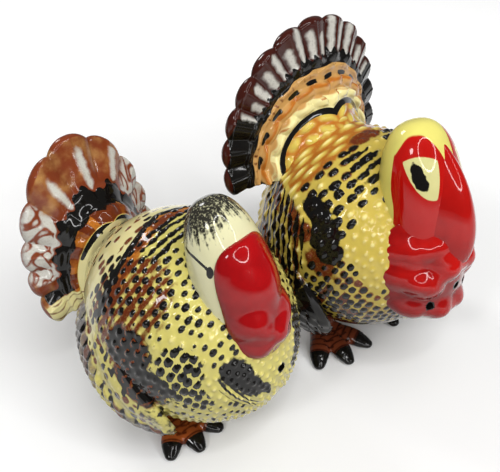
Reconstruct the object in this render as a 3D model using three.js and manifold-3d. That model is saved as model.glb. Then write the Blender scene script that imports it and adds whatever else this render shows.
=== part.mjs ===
// A matched pair of glazed earthenware turkey shakers, a strutting tom and a smaller hen.
// Millimetres, +Z up. Each bird is built facing +X, its body over the axis of its own stopper.
// Every piece is a separate casting, luted to the body with a slip seam.

import * as THREE from "three";
import { mergeVertices } from "three/addons/utils/BufferGeometryUtils.js";
import Module from "manifold-3d";

const wasm = await Module();
wasm.setup();

// How the two birds stand: the hen beside the tom's right wing, a little behind and turned inwards
const PAIR_FACING = -90;
const PAIR_GAP = 1;
const HEN_SET_BACK = 10.4;
const HEN_TURN = 7;

// Clay and fits that both birds share
const SEAM = 0.3;
const BODY_WALL = 3.6;
const POUR_HOLE = 2.8;
const FILL_HOLE = 12.4;
const STOPPER_CLEARANCE = 0.2;
const STOPPER_PLUG_LENGTH = 6.4;
const STOPPER_PLUG_WALL = 1.6;
const STOPPER_PLUG_DRAFT = 0.5;
const STOPPER_FLANGE = 16;
const STOPPER_FLANGE_THICKNESS = 1.4;
const SEAT_DEPTH = 1.8;
const SEAT_CLEARANCE = 0.5;

// Sizes called above, ahead and behind are measured from the middle of the body
const TOM = {
  name: "tom",
  body: { offTable: 7, halfLength: 39, halfWidth: 36, halfHeight: 39, pitch: 25, taper: 0.05 },
  tail: {
    behind: 9, above: 31, lean: 8, rootRadius: 8, rimRadius: 46, sideRadius: 41, spread: 104, flare: 13,
    sweep: 7, feathers: 13, scallop: 2.2, ridge: 1.2, rimThickness: 3, rootThickness: 9,
    coverts: [{ radius: 30, lift: 1.3 }, { radius: 21, lift: 3.4 }],
  },
  head: {
    neckAhead: 25, neckAbove: -26, bowAhead: 32, bowAbove: 16, crownAhead: 17, crownAbove: 53,
    halfWidth: 15.5, halfDepth: 14.5,
  },
  snood: { rootAt: 0.88, tipAt: 0.5, stand: 2.5, halfWidth: 5.5, halfDepth: 6 },
  wattle: { topAt: 0.66, bottomAt: 0.12, stand: 0.5, halfWidth: 22.5, halfDepth: 6, wrap: 0.022 },
  lumps: [
    { up: 0.77, aside: 17, radius: 4.4, height: 2 }, { up: 0.78, aside: 8.5, radius: 4.4, height: 2.2 },
    { up: 0.55, aside: 4.6, radius: 4.8, height: 3.6 }, { up: 0.5, aside: 19.5, radius: 5, height: 3 },
    { up: 0.42, aside: 11.8, radius: 4.8, height: 3 }, { up: 0.15, aside: 4.6, radius: 4.8, height: 3.4 },
    { up: 0.17, aside: 14.5, radius: 5, height: 2.8 },
  ],
  wing: {
    behind: 16, overToes: 1.8, besideShank: 3, halfLength: 35, halfHeight: 21, droop: 36, drop: 9, bulge: 1.6,
    lobes: 7, lobeDepth: 2.2,
  },
  foot: {
    ahead: -1, besideStopper: 2, shank: 12, turnOut: 14, toeSpread: 34, toe: 23, hindToe: 15,
    toeWidth: 7.6, toeHeight: 6.6,
  },
  pourHoles: [{ across: -10.3, above: -6 }, { across: 0, above: -0.5 }, { across: 10.3, above: -6 }],
};

const HEN = {
  name: "hen",
  body: { offTable: 4.6, halfLength: 39, halfWidth: 33.5, halfHeight: 36, pitch: 20, taper: 0.05 },
  tail: {
    behind: 28, above: 9, lean: 16, rootRadius: 8, rimRadius: 46, sideRadius: 29, spread: 116, flare: 16,
    sweep: 7, feathers: 11, scallop: 2.2, ridge: 1.2, rimThickness: 3, rootThickness: 9,
    coverts: [{ radius: 28, lift: 1 }, { radius: 19, lift: 1.8 }],
  },
  head: {
    neckAhead: 15, neckAbove: -17, bowAhead: 30, bowAbove: 15, crownAhead: 8, crownAbove: 52,
    halfWidth: 13.5, halfDepth: 13,
  },
  wattle: { topAt: 0.85, bottomAt: 0.36, stand: 1.5, halfWidth: 13.5, halfDepth: 6.5, wrap: 0.03 },
  lumps: [
    { up: 0.62, aside: 4, radius: 6, height: 0.6 }, { up: 0.36, aside: 7, radius: 4.6, height: 1.7 },
    { up: 0.24, aside: 2, radius: 4.2, height: 1.3 }, { up: 0.12, aside: 7.5, radius: 4.4, height: 1.5 },
  ],
  wing: {
    behind: 13, overToes: 1.8, besideShank: 3, halfLength: 33, halfHeight: 19, droop: 34, drop: 8, bulge: 1.6,
    lobes: 7, lobeDepth: 2.2,
  },
  foot: {
    ahead: 1, besideStopper: 0.8, shank: 10.4, turnOut: 14, toeSpread: 34, toe: 19, hindToe: 14,
    toeWidth: 6.8, toeHeight: 6,
  },
  pourHoles: [{ across: 0, above: 1 }],
};

const glazed = (color) => new THREE.MeshStandardMaterial({ color, roughness: 0.12, metalness: 0 });
const plumage = glazed(0xcdb95a);
const tailPaint = glazed(0x6b3a22);
const wingPaint = glazed(0x4a3a20);
const headPaint = glazed(0xd8cc86);
const redPaint = glazed(0xb3120f);
const footPaint = glazed(0x6a2f14);
const stopperPlastic = new THREE.MeshStandardMaterial({ color: 0xd9d4c6, roughness: 0.55, metalness: 0 });

// Facets around and along each kind of form
const FACETS = {
  egg: [30, 18], hollow: [24, 14], wing: [22, 14], head: [22, 16], snood: [14, 12], wattle: [28, 16],
  shank: [10, 8], toe: [8, 7],
};
const HOLE_SIDES = 12;
const STOPPER_SIDES = 28;
const WING_OUTLINE_STEPS = 42;
const STEPS_PER_FEATHER = 3;
const FAN_ROWS = 3;
const COVERT_ROWS = 2;

const WELD = 1e-4;
const radians = THREE.MathUtils.degToRad;
const LEFT = new THREE.Vector3(0, 1, 0);
const RIGHT = new THREE.Vector3(0, -1, 0);
const UP = new THREE.Vector3(0, 0, 1);

// A closed three.js geometry as a solid; triangles that shrink to nothing at a pole are dropped
function solid(geometry) {
  const bare = geometry.clone();
  bare.deleteAttribute("normal");
  bare.deleteAttribute("uv");
  const merged = mergeVertices(bare, WELD);
  const corners = merged.index.array;
  const kept = [];
  for (let i = 0; i < corners.length; i += 3) {
    const [a, b, c] = [corners[i], corners[i + 1], corners[i + 2]];
    if (a !== b && b !== c && c !== a) kept.push(a, b, c);
  }
  return new wasm.Manifold(new wasm.Mesh({
    numProp: 3,
    vertProperties: merged.getAttribute("position").array,
    triVerts: new Uint32Array(kept),
  }));
}

function piece(name, made, material) {
  const { vertProperties, triVerts } = made.getMesh();
  const geometry = new THREE.BufferGeometry();
  geometry.setAttribute("position", new THREE.BufferAttribute(vertProperties, 3));
  geometry.setIndex(new THREE.BufferAttribute(triVerts, 1));
  const mesh = new THREE.Mesh(geometry, material);
  mesh.name = name;
  return mesh;
}

// Moves every vertex of a geometry to where the rule puts it
function bend(geometry, rule) {
  const points = geometry.getAttribute("position");
  const point = new THREE.Vector3();
  for (let i = 0; i < points.count; i += 1) {
    const moved = rule(point.fromBufferAttribute(points, i));
    points.setXYZ(i, moved.x, moved.y, moved.z);
  }
  return geometry;
}

// How full a roll is along its length, from 0 at its ends to 1 in the middle
const FULLNESS = 2.6;
const fullness = (at) => (1 - Math.abs(2 * at - 1) ** FULLNESS) ** (1 / FULLNESS);

// A round-ended roll of clay along a curve, widest in the middle, flat or round in section.
// It can wrap back to both sides, and carry lumps that stand out of its face.
function roll(curve, side, halfWidth, halfDepth, facets, wrap = 0, lump = () => 0) {
  return solid(bend(new THREE.SphereGeometry(1, ...facets), (unit) => {
    const at = THREE.MathUtils.clamp((unit.y + 1) / 2, 0, 1);
    const ring = Math.hypot(unit.x, unit.z);
    const swell = ring > WELD ? fullness(at) / ring : 0;
    const behind = side.clone().cross(curve.getTangent(at)).normalize();
    const across = unit.x * swell * halfWidth;
    const onFace = Math.max(0, -unit.z * swell);
    return curve.getPoint(at)
      .addScaledVector(side, across)
      .addScaledVector(behind, unit.z * swell * halfDepth + wrap * across ** 2 - onFace * lump(at, across));
  }));
}

// A round bar that stands on the point below it
function standingBar(diameter, length, sides, foot) {
  const bar = new THREE.CylinderGeometry(diameter / 2, diameter / 2, length, sides).rotateX(Math.PI / 2);
  return solid(bar.translate(foot.x, foot.y, foot.z + length / 2));
}

// How far the tipped body reaches below its middle, and the height of that middle
function bellyDepth({ body }) {
  const tilt = radians(body.pitch);
  return Math.hypot(body.halfLength * Math.sin(tilt), body.halfHeight * Math.cos(tilt));
}

const middleHeight = (bird) => bird.body.offTable + bellyDepth(bird);

// A point in the bird's middle plane, ahead of and above the middle of the body
function inMiddlePlane(bird, ahead, above) {
  return new THREE.Vector3(ahead, 0, middleHeight(bird) + above);
}

// The body is an egg that tips its breast down and lifts its rump
function egg(bird, grow, drop, facets) {
  const { body } = bird;
  const tilt = radians(body.pitch);
  const ahead = new THREE.Vector3(Math.cos(tilt), 0, -Math.sin(tilt));
  const above = new THREE.Vector3(Math.sin(tilt), 0, Math.cos(tilt));
  return solid(bend(new THREE.SphereGeometry(1, ...facets), (unit) => {
    const widen = 1 - body.taper * unit.y;
    return inMiddlePlane(bird, 0, -drop)
      .addScaledVector(ahead, unit.y * (body.halfLength + grow))
      .addScaledVector(above, unit.z * widen * (body.halfHeight + grow))
      .addScaledVector(RIGHT, unit.x * widen * (body.halfWidth + grow));
  }));
}

const bodyEgg = (bird, grow) => egg(bird, grow, 0, FACETS.egg);

// Pour holes run level from the hollow out through the breast, neck and wattle
function pourHoles(bird) {
  const reach = 2 * bird.body.halfLength;
  return bird.pourHoles.map(({ across, above }) => {
    const start = inMiddlePlane(bird, reach / 2, above);
    const drill = new THREE.CylinderGeometry(POUR_HOLE / 2, POUR_HOLE / 2, reach, HOLE_SIDES);
    return solid(drill.rotateZ(Math.PI / 2).translate(start.x, across, start.z));
  });
}

const drilled = (made, drills) => drills.reduce((left, drill) => left.subtract(drill), made);

// The flat seat on the belly for the stopper's flange
const seatHeight = (bird) => bird.body.offTable + SEAT_DEPTH;

function bodyCasting(bird) {
  const table = new THREE.Vector3();
  const hollow = egg(bird, -BODY_WALL, 0, FACETS.hollow);
  const fillHole = standingBar(FILL_HOLE, middleHeight(bird), STOPPER_SIDES, table);
  const seat = standingBar(STOPPER_FLANGE + 2 * SEAT_CLEARANCE, seatHeight(bird), STOPPER_SIDES, table);
  const shell = bodyEgg(bird, 0).subtract(hollow).subtract(fillHole).subtract(seat);
  return drilled(shell, pourHoles(bird));
}

// A fan of feathers flared back from the rump like a trumpet bell, with a scalloped rim
function fan(bird, rimRadius, lift, grow, rows) {
  const { tail } = bird;
  const lean = radians(tail.lean);
  const spread = radians(tail.spread);
  const rise = new THREE.Vector3(-Math.sin(lean), 0, Math.cos(lean));
  const back = new THREE.Vector3(-Math.cos(lean), 0, -Math.sin(lean));
  const share = rimRadius / tail.rimRadius;
  const blank = new THREE.BoxGeometry(1, 1, 1, tail.feathers * STEPS_PER_FEATHER, rows, 1);
  return solid(bend(blank, (unit) => {
    const angle = unit.x * 2 * spread;
    const out = unit.y + 0.5;
    const across = (unit.x + 0.5) * tail.feathers;
    const fromQuill = 2 * (across - Math.floor(across)) - 1;
    const notch = tail.scallop * fromQuill ** 2;
    const oval = (tail.rimRadius * tail.sideRadius)
      / Math.hypot(tail.sideRadius * Math.cos(angle), tail.rimRadius * Math.sin(angle));
    const radius = tail.rootRadius + (oval * share + grow - notch - tail.rootRadius) * out;
    const reach = out * share;
    const ridge = tail.ridge * reach * (1 - fromQuill ** 2);
    const bell = tail.flare * (1 - (1 - reach) ** 2) + tail.sweep * reach * Math.sin(angle) ** 2;
    const front = bell - ridge - lift;
    const thick = tail.rimThickness + (tail.rootThickness - tail.rimThickness) * (1 - out) + 2 * grow;
    return inMiddlePlane(bird, -tail.behind, tail.above)
      .addScaledVector(rise, radius * Math.cos(angle))
      .addScaledVector(LEFT, radius * Math.sin(angle))
      .addScaledVector(back, front - grow + (0.5 - unit.z) * thick);
  }));
}

const tailFan = (bird, grow) => fan(bird, bird.tail.rimRadius, 0, grow, FAN_ROWS);

// Rows of coverts lie over the roots of the long tail feathers
function tailCasting(bird) {
  let feathers = tailFan(bird, 0);
  for (const { radius, lift } of bird.tail.coverts) {
    feathers = feathers.add(fan(bird, radius, lift, 0, COVERT_ROWS));
  }
  return feathers.subtract(bodyEgg(bird, SEAM));
}

// The neck and head are one roll that rises out of the breast and leans back to the crown
function headSpine(bird) {
  const { head } = bird;
  return new THREE.QuadraticBezierCurve3(
    inMiddlePlane(bird, head.neckAhead, head.neckAbove),
    inMiddlePlane(bird, head.bowAhead, head.bowAbove),
    inMiddlePlane(bird, head.crownAhead, head.crownAbove),
  );
}

function headRoll(bird, grow) {
  const { halfWidth, halfDepth } = bird.head;
  return roll(headSpine(bird), RIGHT, halfWidth + grow, halfDepth + grow, FACETS.head);
}

function headCasting(bird) {
  return drilled(headRoll(bird, 0).subtract(bodyEgg(bird, SEAM)), pourHoles(bird));
}

// A point on the front of the head, standing off it by the given amount
function faceFront(bird, at, stand) {
  const spine = headSpine(bird);
  const ahead = LEFT.clone().cross(spine.getTangent(at)).normalize();
  return spine.getPoint(at).addScaledVector(ahead, bird.head.halfDepth * fullness(at) + stand);
}

// The line that a fleshy piece follows down the front of the face
function fleshCurve(bird, topAt, bottomAt, stand) {
  return new THREE.QuadraticBezierCurve3(
    faceFront(bird, bottomAt, 0),
    faceFront(bird, (topAt + bottomAt) / 2, stand),
    faceFront(bird, topAt, 0),
  );
}

function snoodRoll(bird, grow) {
  const { snood } = bird;
  const curve = fleshCurve(bird, snood.rootAt, snood.tipAt, snood.stand);
  return roll(curve, RIGHT, snood.halfWidth + grow, snood.halfDepth + grow, FACETS.snood);
}

function snoodCasting(bird) {
  return snoodRoll(bird, 0).subtract(headRoll(bird, SEAM)).subtract(bodyEgg(bird, SEAM));
}

// How far the lumps on both sides of a wattle stand out at a place up the piece and across it
function lumpHeight(lumps, length, at, across) {
  let stand = 0;
  for (const { up, aside, radius, height } of lumps) {
    for (const middle of [-aside, aside]) {
      const gap = Math.hypot((at - up) * length, across - middle) / radius;
      stand += height * Math.exp(-(gap ** 2));
    }
  }
  return stand;
}

// The wattle hangs down the face and wraps round the breast
function wattleCasting(bird) {
  const { wattle, lumps } = bird;
  const curve = fleshCurve(bird, wattle.topAt, wattle.bottomAt, wattle.stand);
  const length = curve.getLength();
  const lump = (at, across) => lumpHeight(lumps, length, at, across);
  let flesh = roll(curve, RIGHT, wattle.halfWidth, wattle.halfDepth, FACETS.wattle, wattle.wrap, lump);
  flesh = flesh.subtract(headRoll(bird, SEAM)).subtract(bodyEgg(bird, SEAM));
  if (bird.snood) flesh = flesh.subtract(snoodRoll(bird, SEAM));
  return drilled(flesh, pourHoles(bird));
}

// The middle of a foot stands beside the stopper's flange
const footAcross = ({ foot }) => STOPPER_FLANGE / 2 + foot.besideStopper + foot.shank / 2;

// A drooping wing: clay laid over the flank that hangs past the belly, its lower edge cut into tips
function wingCasting(bird, hand) {
  const { wing, body, foot } = bird;
  const tilt = -radians(wing.droop);
  const reachDown = Math.hypot(wing.halfLength * Math.sin(tilt), wing.halfHeight * Math.cos(tilt));
  const middleZ = foot.toeHeight + wing.overToes + reachDown;
  const edge = [];
  for (let i = 0; i < WING_OUTLINE_STEPS; i += 1) {
    const angle = (2 * Math.PI * i) / WING_OUTLINE_STEPS;
    const below = Math.max(0, -Math.sin(angle));
    const wave = Math.abs(Math.sin(angle * wing.lobes));
    const shrink = wing.lobeDepth * below * (1 - wave);
    const along = (wing.halfLength - shrink) * Math.cos(angle);
    const across = (wing.halfHeight - shrink) * Math.sin(angle);
    const x = along * Math.cos(tilt) - across * Math.sin(tilt) - wing.behind;
    const z = along * Math.sin(tilt) + across * Math.cos(tilt) + middleZ;
    edge.push(new THREE.Vector2(x, z));
  }
  const inside = footAcross(bird) + foot.shank / 2 + wing.besideShank;
  const depth = 2 * body.halfWidth;
  const slab = new THREE.ExtrudeGeometry(new THREE.Shape(edge), { depth, bevelEnabled: false });
  const flank = slab.rotateX(Math.PI / 2).translate(0, hand > 0 ? inside + depth : -inside, 0);
  const laid = egg(bird, wing.bulge, wing.drop, FACETS.wing).subtract(bodyEgg(bird, SEAM));
  return laid.intersect(solid(flank)).subtract(tailFan(bird, SEAM));
}

// A short shank under the belly and a broad foot: three toes ahead and one behind, flat underneath.
// The lifts place the middle of a toe above the table, as shares of its height.
const HEEL_LIFT = 0.36;
const KNUCKLE_LIFT = 0.44;
const CLAW_LIFT = 0.26;

function footCasting(bird, hand) {
  const { foot } = bird;
  const ankle = new THREE.Vector3(foot.ahead, hand * footAcross(bird), foot.toeHeight * HEEL_LIFT);
  const hip = ankle.clone().setZ(middleHeight(bird));
  let made = roll(new THREE.LineCurve3(ankle, hip), RIGHT, foot.shank / 2, foot.shank / 2, FACETS.shank);
  const toes = [-1, 0, 1].map((step) => [hand * foot.turnOut + step * foot.toeSpread, foot.toe]);
  toes.push([180, foot.hindToe]);
  for (const [turn, length] of toes) {
    const way = new THREE.Vector3(Math.cos(radians(turn)), Math.sin(radians(turn)), 0);
    const toe = new THREE.QuadraticBezierCurve3(
      ankle.clone().addScaledVector(way, -foot.toeWidth / 2),
      ankle.clone().addScaledVector(way, length / 2).setZ(foot.toeHeight * KNUCKLE_LIFT),
      ankle.clone().addScaledVector(way, length).setZ(foot.toeHeight * CLAW_LIFT),
    );
    made = made.add(roll(toe, way.clone().cross(UP), foot.toeWidth / 2, foot.toeHeight / 2, FACETS.toe));
  }
  const reach = 2 * (foot.toe + foot.hindToe + foot.toeWidth);
  const table = new THREE.BoxGeometry(reach, reach, reach).translate(ankle.x, ankle.y, -reach / 2);
  return made.subtract(solid(table)).subtract(bodyEgg(bird, SEAM));
}

// The soft stopper: a hollow tapered plug, and a flange that seats on the flat under the belly
function stopperMoulding(bird) {
  const seatZ = seatHeight(bird);
  const plug = FILL_HOLE / 2 - STOPPER_CLEARANCE;
  const bore = plug - STOPPER_PLUG_WALL;
  const flange = STOPPER_FLANGE / 2;
  const under = seatZ - STOPPER_FLANGE_THICKNESS;
  const top = seatZ + STOPPER_PLUG_LENGTH;
  const profile = [
    [0, top - STOPPER_PLUG_WALL],
    [bore - STOPPER_PLUG_DRAFT, top - STOPPER_PLUG_WALL],
    [bore, under],
    [flange, under],
    [flange, seatZ],
    [plug, seatZ],
    [plug - STOPPER_PLUG_DRAFT, top],
    [0, top],
  ].map(([radius, z]) => new THREE.Vector2(radius, z));
  return solid(new THREE.LatheGeometry(profile, STOPPER_SIDES).rotateX(Math.PI / 2));
}

function turkey(bird) {
  const made = new THREE.Group();
  const add = (part, shape, material) => made.add(piece(`${bird.name}_${part}`, shape, material));
  add("body", bodyCasting(bird), plumage);
  add("tail_fan", tailCasting(bird), tailPaint);
  add("head", headCasting(bird), headPaint);
  if (bird.snood) add("snood", snoodCasting(bird), redPaint);
  add("wattle", wattleCasting(bird), redPaint);
  for (const [hand, word] of [[1, "left"], [-1, "right"]]) {
    add(`${word}_wing`, wingCasting(bird, hand), wingPaint);
    add(`${word}_foot`, footCasting(bird, hand), footPaint);
  }
  add("stopper", stopperMoulding(bird), stopperPlastic);
  return made;
}

const halfAcross = ({ body, wing }) => body.halfWidth + wing.bulge;
const pair = new THREE.Group();
const tom = turkey(TOM);
const hen = turkey(HEN);
hen.position.set(-HEN_SET_BACK, -(halfAcross(TOM) + PAIR_GAP + halfAcross(HEN)), 0);
hen.rotation.z = radians(HEN_TURN);
pair.add(tom, hen);
pair.rotation.z = radians(PAIR_FACING);

// The origin is on the table, under the middle of the pair
const middle = new THREE.Box3().setFromObject(pair, true).getCenter(new THREE.Vector3());
pair.position.set(-middle.x, -middle.y, 0);

export default pair;
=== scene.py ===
import math

import bmesh
import bpy
import numpy as np
from mathutils import Matrix, Vector


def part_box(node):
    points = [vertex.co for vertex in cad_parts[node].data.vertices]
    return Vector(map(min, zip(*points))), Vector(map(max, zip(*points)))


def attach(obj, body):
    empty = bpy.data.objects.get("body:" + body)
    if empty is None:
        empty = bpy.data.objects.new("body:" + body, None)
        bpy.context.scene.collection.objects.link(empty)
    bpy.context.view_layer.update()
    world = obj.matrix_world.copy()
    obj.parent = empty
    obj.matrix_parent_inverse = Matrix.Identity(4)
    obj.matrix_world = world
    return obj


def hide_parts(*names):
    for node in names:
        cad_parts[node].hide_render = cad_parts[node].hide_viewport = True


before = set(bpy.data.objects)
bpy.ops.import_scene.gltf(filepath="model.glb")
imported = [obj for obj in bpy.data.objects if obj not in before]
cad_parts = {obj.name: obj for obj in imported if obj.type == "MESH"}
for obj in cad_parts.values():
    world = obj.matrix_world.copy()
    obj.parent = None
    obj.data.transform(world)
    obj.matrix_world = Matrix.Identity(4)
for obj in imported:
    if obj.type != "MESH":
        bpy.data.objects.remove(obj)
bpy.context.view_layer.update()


# Bodies: each is a hollow egg of slip-cast earthenware, tipped breast down, with rows of feather tips. They
# are brushed in black, rust and orange over yellow, under a clear glaze. Sizes are millimetres in the bird's
# own frame: it faces +X and stands over the axis of its stopper.

MM = 0.001
FACING = {"tom": math.radians(-90), "hen": math.radians(-83)}
BODY = {
    "tom": {"length": 39, "width": 36, "height": 39, "pitch": math.radians(25), "middle": 46.0},
    "hen": {"length": 39, "width": 33.5, "height": 36, "pitch": math.radians(20), "middle": 40.96},
}
BODY_TAPER = 0.05
BORE_SIDES = 36
# How far past a bore's radius its mouth is painted black, as painted shade
BORE_SHADE_REACH = 1.3


def to_table(bird, points):
    """Brings points of a bird's own frame to the table, in metres."""
    low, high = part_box(f"{bird}_stopper")
    turn = FACING[bird]
    x = points[..., 0]
    y = points[..., 1]
    return np.stack([
        (low.x + high.x) / 2 + MM * (x * math.cos(turn) - y * math.sin(turn)),
        (low.y + high.y) / 2 + MM * (x * math.sin(turn) + y * math.cos(turn)),
        MM * points[..., 2],
    ], axis=-1)


def body_point(bird, along, around):
    """The egg's surface: along runs from breast to rump, around from the back down the left flank."""
    size = BODY[bird]
    widen = 1 - BODY_TAPER * np.cos(along)
    ahead = np.cos(along) * size["length"]
    above = np.sin(along) * np.cos(around) * widen * size["height"]
    left = np.sin(along) * np.sin(around) * widen * size["width"]
    tilt = size["pitch"]
    return np.stack([
        ahead * math.cos(tilt) + above * math.sin(tilt),
        left,
        size["middle"] - ahead * math.sin(tilt) + above * math.cos(tilt),
    ], axis=-1)


def body_place(bird, points):
    """The reverse of body_point, with how many times the egg's size a point lies out."""
    size = BODY[bird]
    tilt = size["pitch"]
    x = points[..., 0]
    z = points[..., 2] - size["middle"]
    ahead = (x * math.cos(tilt) - z * math.sin(tilt)) / size["length"]
    widen = 1 - BODY_TAPER * np.clip(ahead, -1, 1)
    above = (x * math.sin(tilt) + z * math.cos(tilt)) / (size["height"] * widen)
    left = points[..., 1] / (size["width"] * widen)
    out = np.sqrt(ahead ** 2 + above ** 2 + left ** 2)
    along = np.arctan2(np.hypot(above, left), ahead)
    return along, np.arctan2(left, above), out


def body_normal(bird, along, around):
    """The way straight out of the egg at a place on it."""
    size = BODY[bird]
    tilt = size["pitch"]
    ahead = np.cos(along) / size["length"]
    above = np.sin(along) * np.cos(around) / size["height"]
    left = np.sin(along) * np.sin(around) / size["width"]
    normal = np.stack([
        ahead * math.cos(tilt) + above * math.sin(tilt),
        left,
        -ahead * math.sin(tilt) + above * math.cos(tilt),
    ], axis=-1)
    return normal / np.linalg.norm(normal, axis=-1, keepdims=True)


def ball_grid(rows, columns):
    """Angles and faces of a closed ball: a first pole, rings of points, a last pole."""
    step = np.arange(1, rows + 1) * math.pi / (rows + 1)
    turn = np.arange(columns) * 2 * math.pi / columns
    along = np.concatenate([[0.0], np.repeat(step, columns), [math.pi]])
    around = np.concatenate([[0.0], np.tile(turn, rows), [0.0]])
    around = np.where(around > math.pi, around - 2 * math.pi, around)
    here = np.arange(columns)
    beside = (here + 1) % columns
    faces = [(0, 1 + b, 1 + a) for a, b in zip(here, beside)]
    for row in range(rows - 1):
        near = 1 + row * columns
        far = near + columns
        faces += [(near + a, near + b, far + b, far + a) for a, b in zip(here, beside)]
    near = 1 + (rows - 1) * columns
    faces += [(near + a, near + b, near + columns) for a, b in zip(here, beside)]
    return along, around, faces


def smooth(value, low, high):
    """Rises gently from 0 at low to 1 at high."""
    share = np.clip((value - low) / (high - low), 0, 1)
    return share * share * (3 - 2 * share)


def between(value, low, high, soft):
    """1 from low to high, with soft ends."""
    return smooth(value, low - soft, low + soft) * (1 - smooth(value, high - soft, high + soft))


def spot(t, f, t_middle, f_middle, t_reach, f_reach):
    """A soft round dab of paint: 1 in its middle, half strength where its edge is brushed."""
    gap = ((t - t_middle) / t_reach) ** 2 + ((f - f_middle) / f_reach) ** 2
    return np.exp(-math.log(2) * gap)


def spots(t, f, places):
    """The strongest of several dabs, each given by its middle and its reach."""
    return np.maximum.reduce([spot(t, f, *place) for place in places])


def area(t, f, along, around):
    """1 inside a patch of the egg: each range is its start, its end and how soft these are."""
    return between(t, *along) * between(f, *around)


def chance(row, column, seed):
    """A fixed number from 0 to 1 for each feather."""
    mixed = np.sin(row * 12.9898 + column * 78.233 + seed * 37.719) * 43758.5453
    return mixed - np.floor(mixed)


def drill(piece, bird, bores):
    """Cuts round holes: each bore is a start, a direction and length, and a radius."""
    edit = bmesh.new()
    for start, way, radius in bores:
        ends = to_table(bird, np.array([start, np.add(start, way)]))
        axis = Vector(ends[1] - ends[0])
        turned = axis.to_track_quat("Z", "Y").to_matrix().to_4x4()
        place = Matrix.Translation(Vector(ends.mean(axis=0))) @ turned
        bmesh.ops.create_cone(
            edit, cap_ends=True, segments=BORE_SIDES, radius1=MM * radius, radius2=MM * radius,
            depth=axis.length, matrix=place,
        )
    bit_mesh = bpy.data.meshes.new("bit")
    edit.to_mesh(bit_mesh)
    edit.free()
    bit = bpy.data.objects.new("bit", bit_mesh)
    bpy.context.scene.collection.objects.link(bit)
    cut = piece.modifiers.new("bore", "BOOLEAN")
    cut.operation = "DIFFERENCE"
    cut.solver = "EXACT"
    cut.object = bit
    settle(piece)
    bpy.data.objects.remove(bit)
    bpy.data.meshes.remove(bit_mesh)


def mesh_points(mesh):
    flat = np.empty(3 * len(mesh.vertices), dtype=np.float32)
    mesh.vertices.foreach_get("co", flat)
    return flat.reshape(-1, 3)


def paint_bore_shade(piece, bird, bores):
    """Paints shade into bores: their walls and mouths are coloured black, as painted shade."""
    mesh = piece.data
    points = mesh_points(mesh)
    shade = np.empty(len(mesh.vertices), dtype=np.float32)
    layer = mesh.attributes["black"].data
    layer.foreach_get("value", shade)
    for start, way, radius in bores:
        ends = to_table(bird, np.array([start, np.add(start, way)]))
        axis = (ends[1] - ends[0]) / np.linalg.norm(ends[1] - ends[0])
        offset = points - ends[0]
        along = offset @ axis
        gap = np.linalg.norm(offset - along[:, None] * axis, axis=1)
        shade[(gap < MM * radius * BORE_SHADE_REACH) & (along > 0)] = 1
    layer.foreach_set("value", shade)


def settle(piece):
    """Turns what a piece's modifiers make into its plain mesh."""
    ready = bpy.context.evaluated_depsgraph_get()
    made = piece.evaluated_get(ready)
    done = bpy.data.meshes.new_from_object(made, preserve_all_data_layers=True, depsgraph=ready)
    spent = piece.data
    piece.modifiers.clear()
    piece.data = done
    bpy.data.meshes.remove(spent)
    done.name = piece.name


def write_fields(mesh, fields):
    """Keeps each field of 0 to 1 on the mesh's points, for the paint to read."""
    for field, values in fields.items():
        layer = mesh.attributes.new(field, "FLOAT", "POINT")
        layer.data.foreach_set("value", np.clip(values, 0, 1).astype(np.float32))


def make_piece(name, bird, points, faces, fields, material, bores=()):
    """A piece from its points, faces and paint fields, with its bores cut."""
    mesh = bpy.data.meshes.new(name)
    mesh.from_pydata(to_table(bird, points).tolist(), [], faces)
    edit = bmesh.new()
    edit.from_mesh(mesh)
    bmesh.ops.recalc_face_normals(edit, faces=edit.faces)
    edit.to_mesh(mesh)
    edit.free()
    mesh.shade_smooth()
    write_fields(mesh, fields)
    mesh.materials.append(material)
    piece = bpy.data.objects.new(name, mesh)
    bpy.context.scene.collection.objects.link(piece)
    if bores:
        drill(piece, bird, bores)
    return piece


def fit_piece(piece, body, node):
    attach(piece, body)
    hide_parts(node)


# Rows of feather tips from the breast backwards: where a band of rows starts, how far apart its rows are in
# degrees, and how far apart the tips of a row are in millimetres
TIP_BANDS = {
    "tom": [(6, 4.6, 3.8), (78, 5.4, 5.2), (114, 4.6, 10.0)],
    "hen": [(6, 3.9, 3.4), (52, 4.3, 4.1)],
}
TIP_LAST = 164
TIP_SEED = {"tom": 3, "hen": 8}
TIP_FEWEST = 6
TIP_SWAY = 0.3
TIP_DRIFT = 0.32
TIP_HALF_WIDTH = 0.45
TIP_HALF_LENGTH = 0.43


def feather_tips(bird, t, f):
    """For each point: how far it is from the middle of its tip (1 at the edge), where it lies across the
    row, which row and tip that is, and where the tip is. Places are degrees on the egg."""
    size = BODY[bird]
    girth = (size["width"] + size["height"]) / 2
    starts = []
    apart = []
    place = TIP_BANDS[bird][0][0]
    while place < TIP_LAST:
        band = [b for b in TIP_BANDS[bird] if b[0] <= place + 0.01][-1]
        starts.append(place)
        apart.append(band[2])
        place += band[1]
    starts = np.array(starts + [place])
    row = np.clip(np.searchsorted(starts, t, side="right") - 1, 0, len(apart) - 1)
    pitch = starts[row + 1] - starts[row]
    row_middle = (starts[row] + starts[row + 1]) / 2
    ring = 2 * math.pi * girth * np.sin(np.radians(row_middle))
    count = np.maximum(TIP_FEWEST, np.round(ring / np.array(apart)[row]))
    width = 360 / count
    shift = 0.5 * (row % 2) + TIP_SWAY * chance(row, 0 * row, TIP_SEED[bird])
    column = np.floor(f / width + shift)
    column_middle = (column - shift + 0.5) * width
    sway = chance(row, column, TIP_SEED[bird] + 1) - 0.5
    drift = chance(row, column, TIP_SEED[bird] + 2) - 0.5
    across = (f - column_middle) / width - TIP_SWAY * sway
    ahead = (t - row_middle) / pitch - TIP_DRIFT * drift
    distance = np.hypot(across / TIP_HALF_WIDTH, ahead / TIP_HALF_LENGTH)
    return distance, ahead, row, column, row_middle, np.abs(column_middle)


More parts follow.
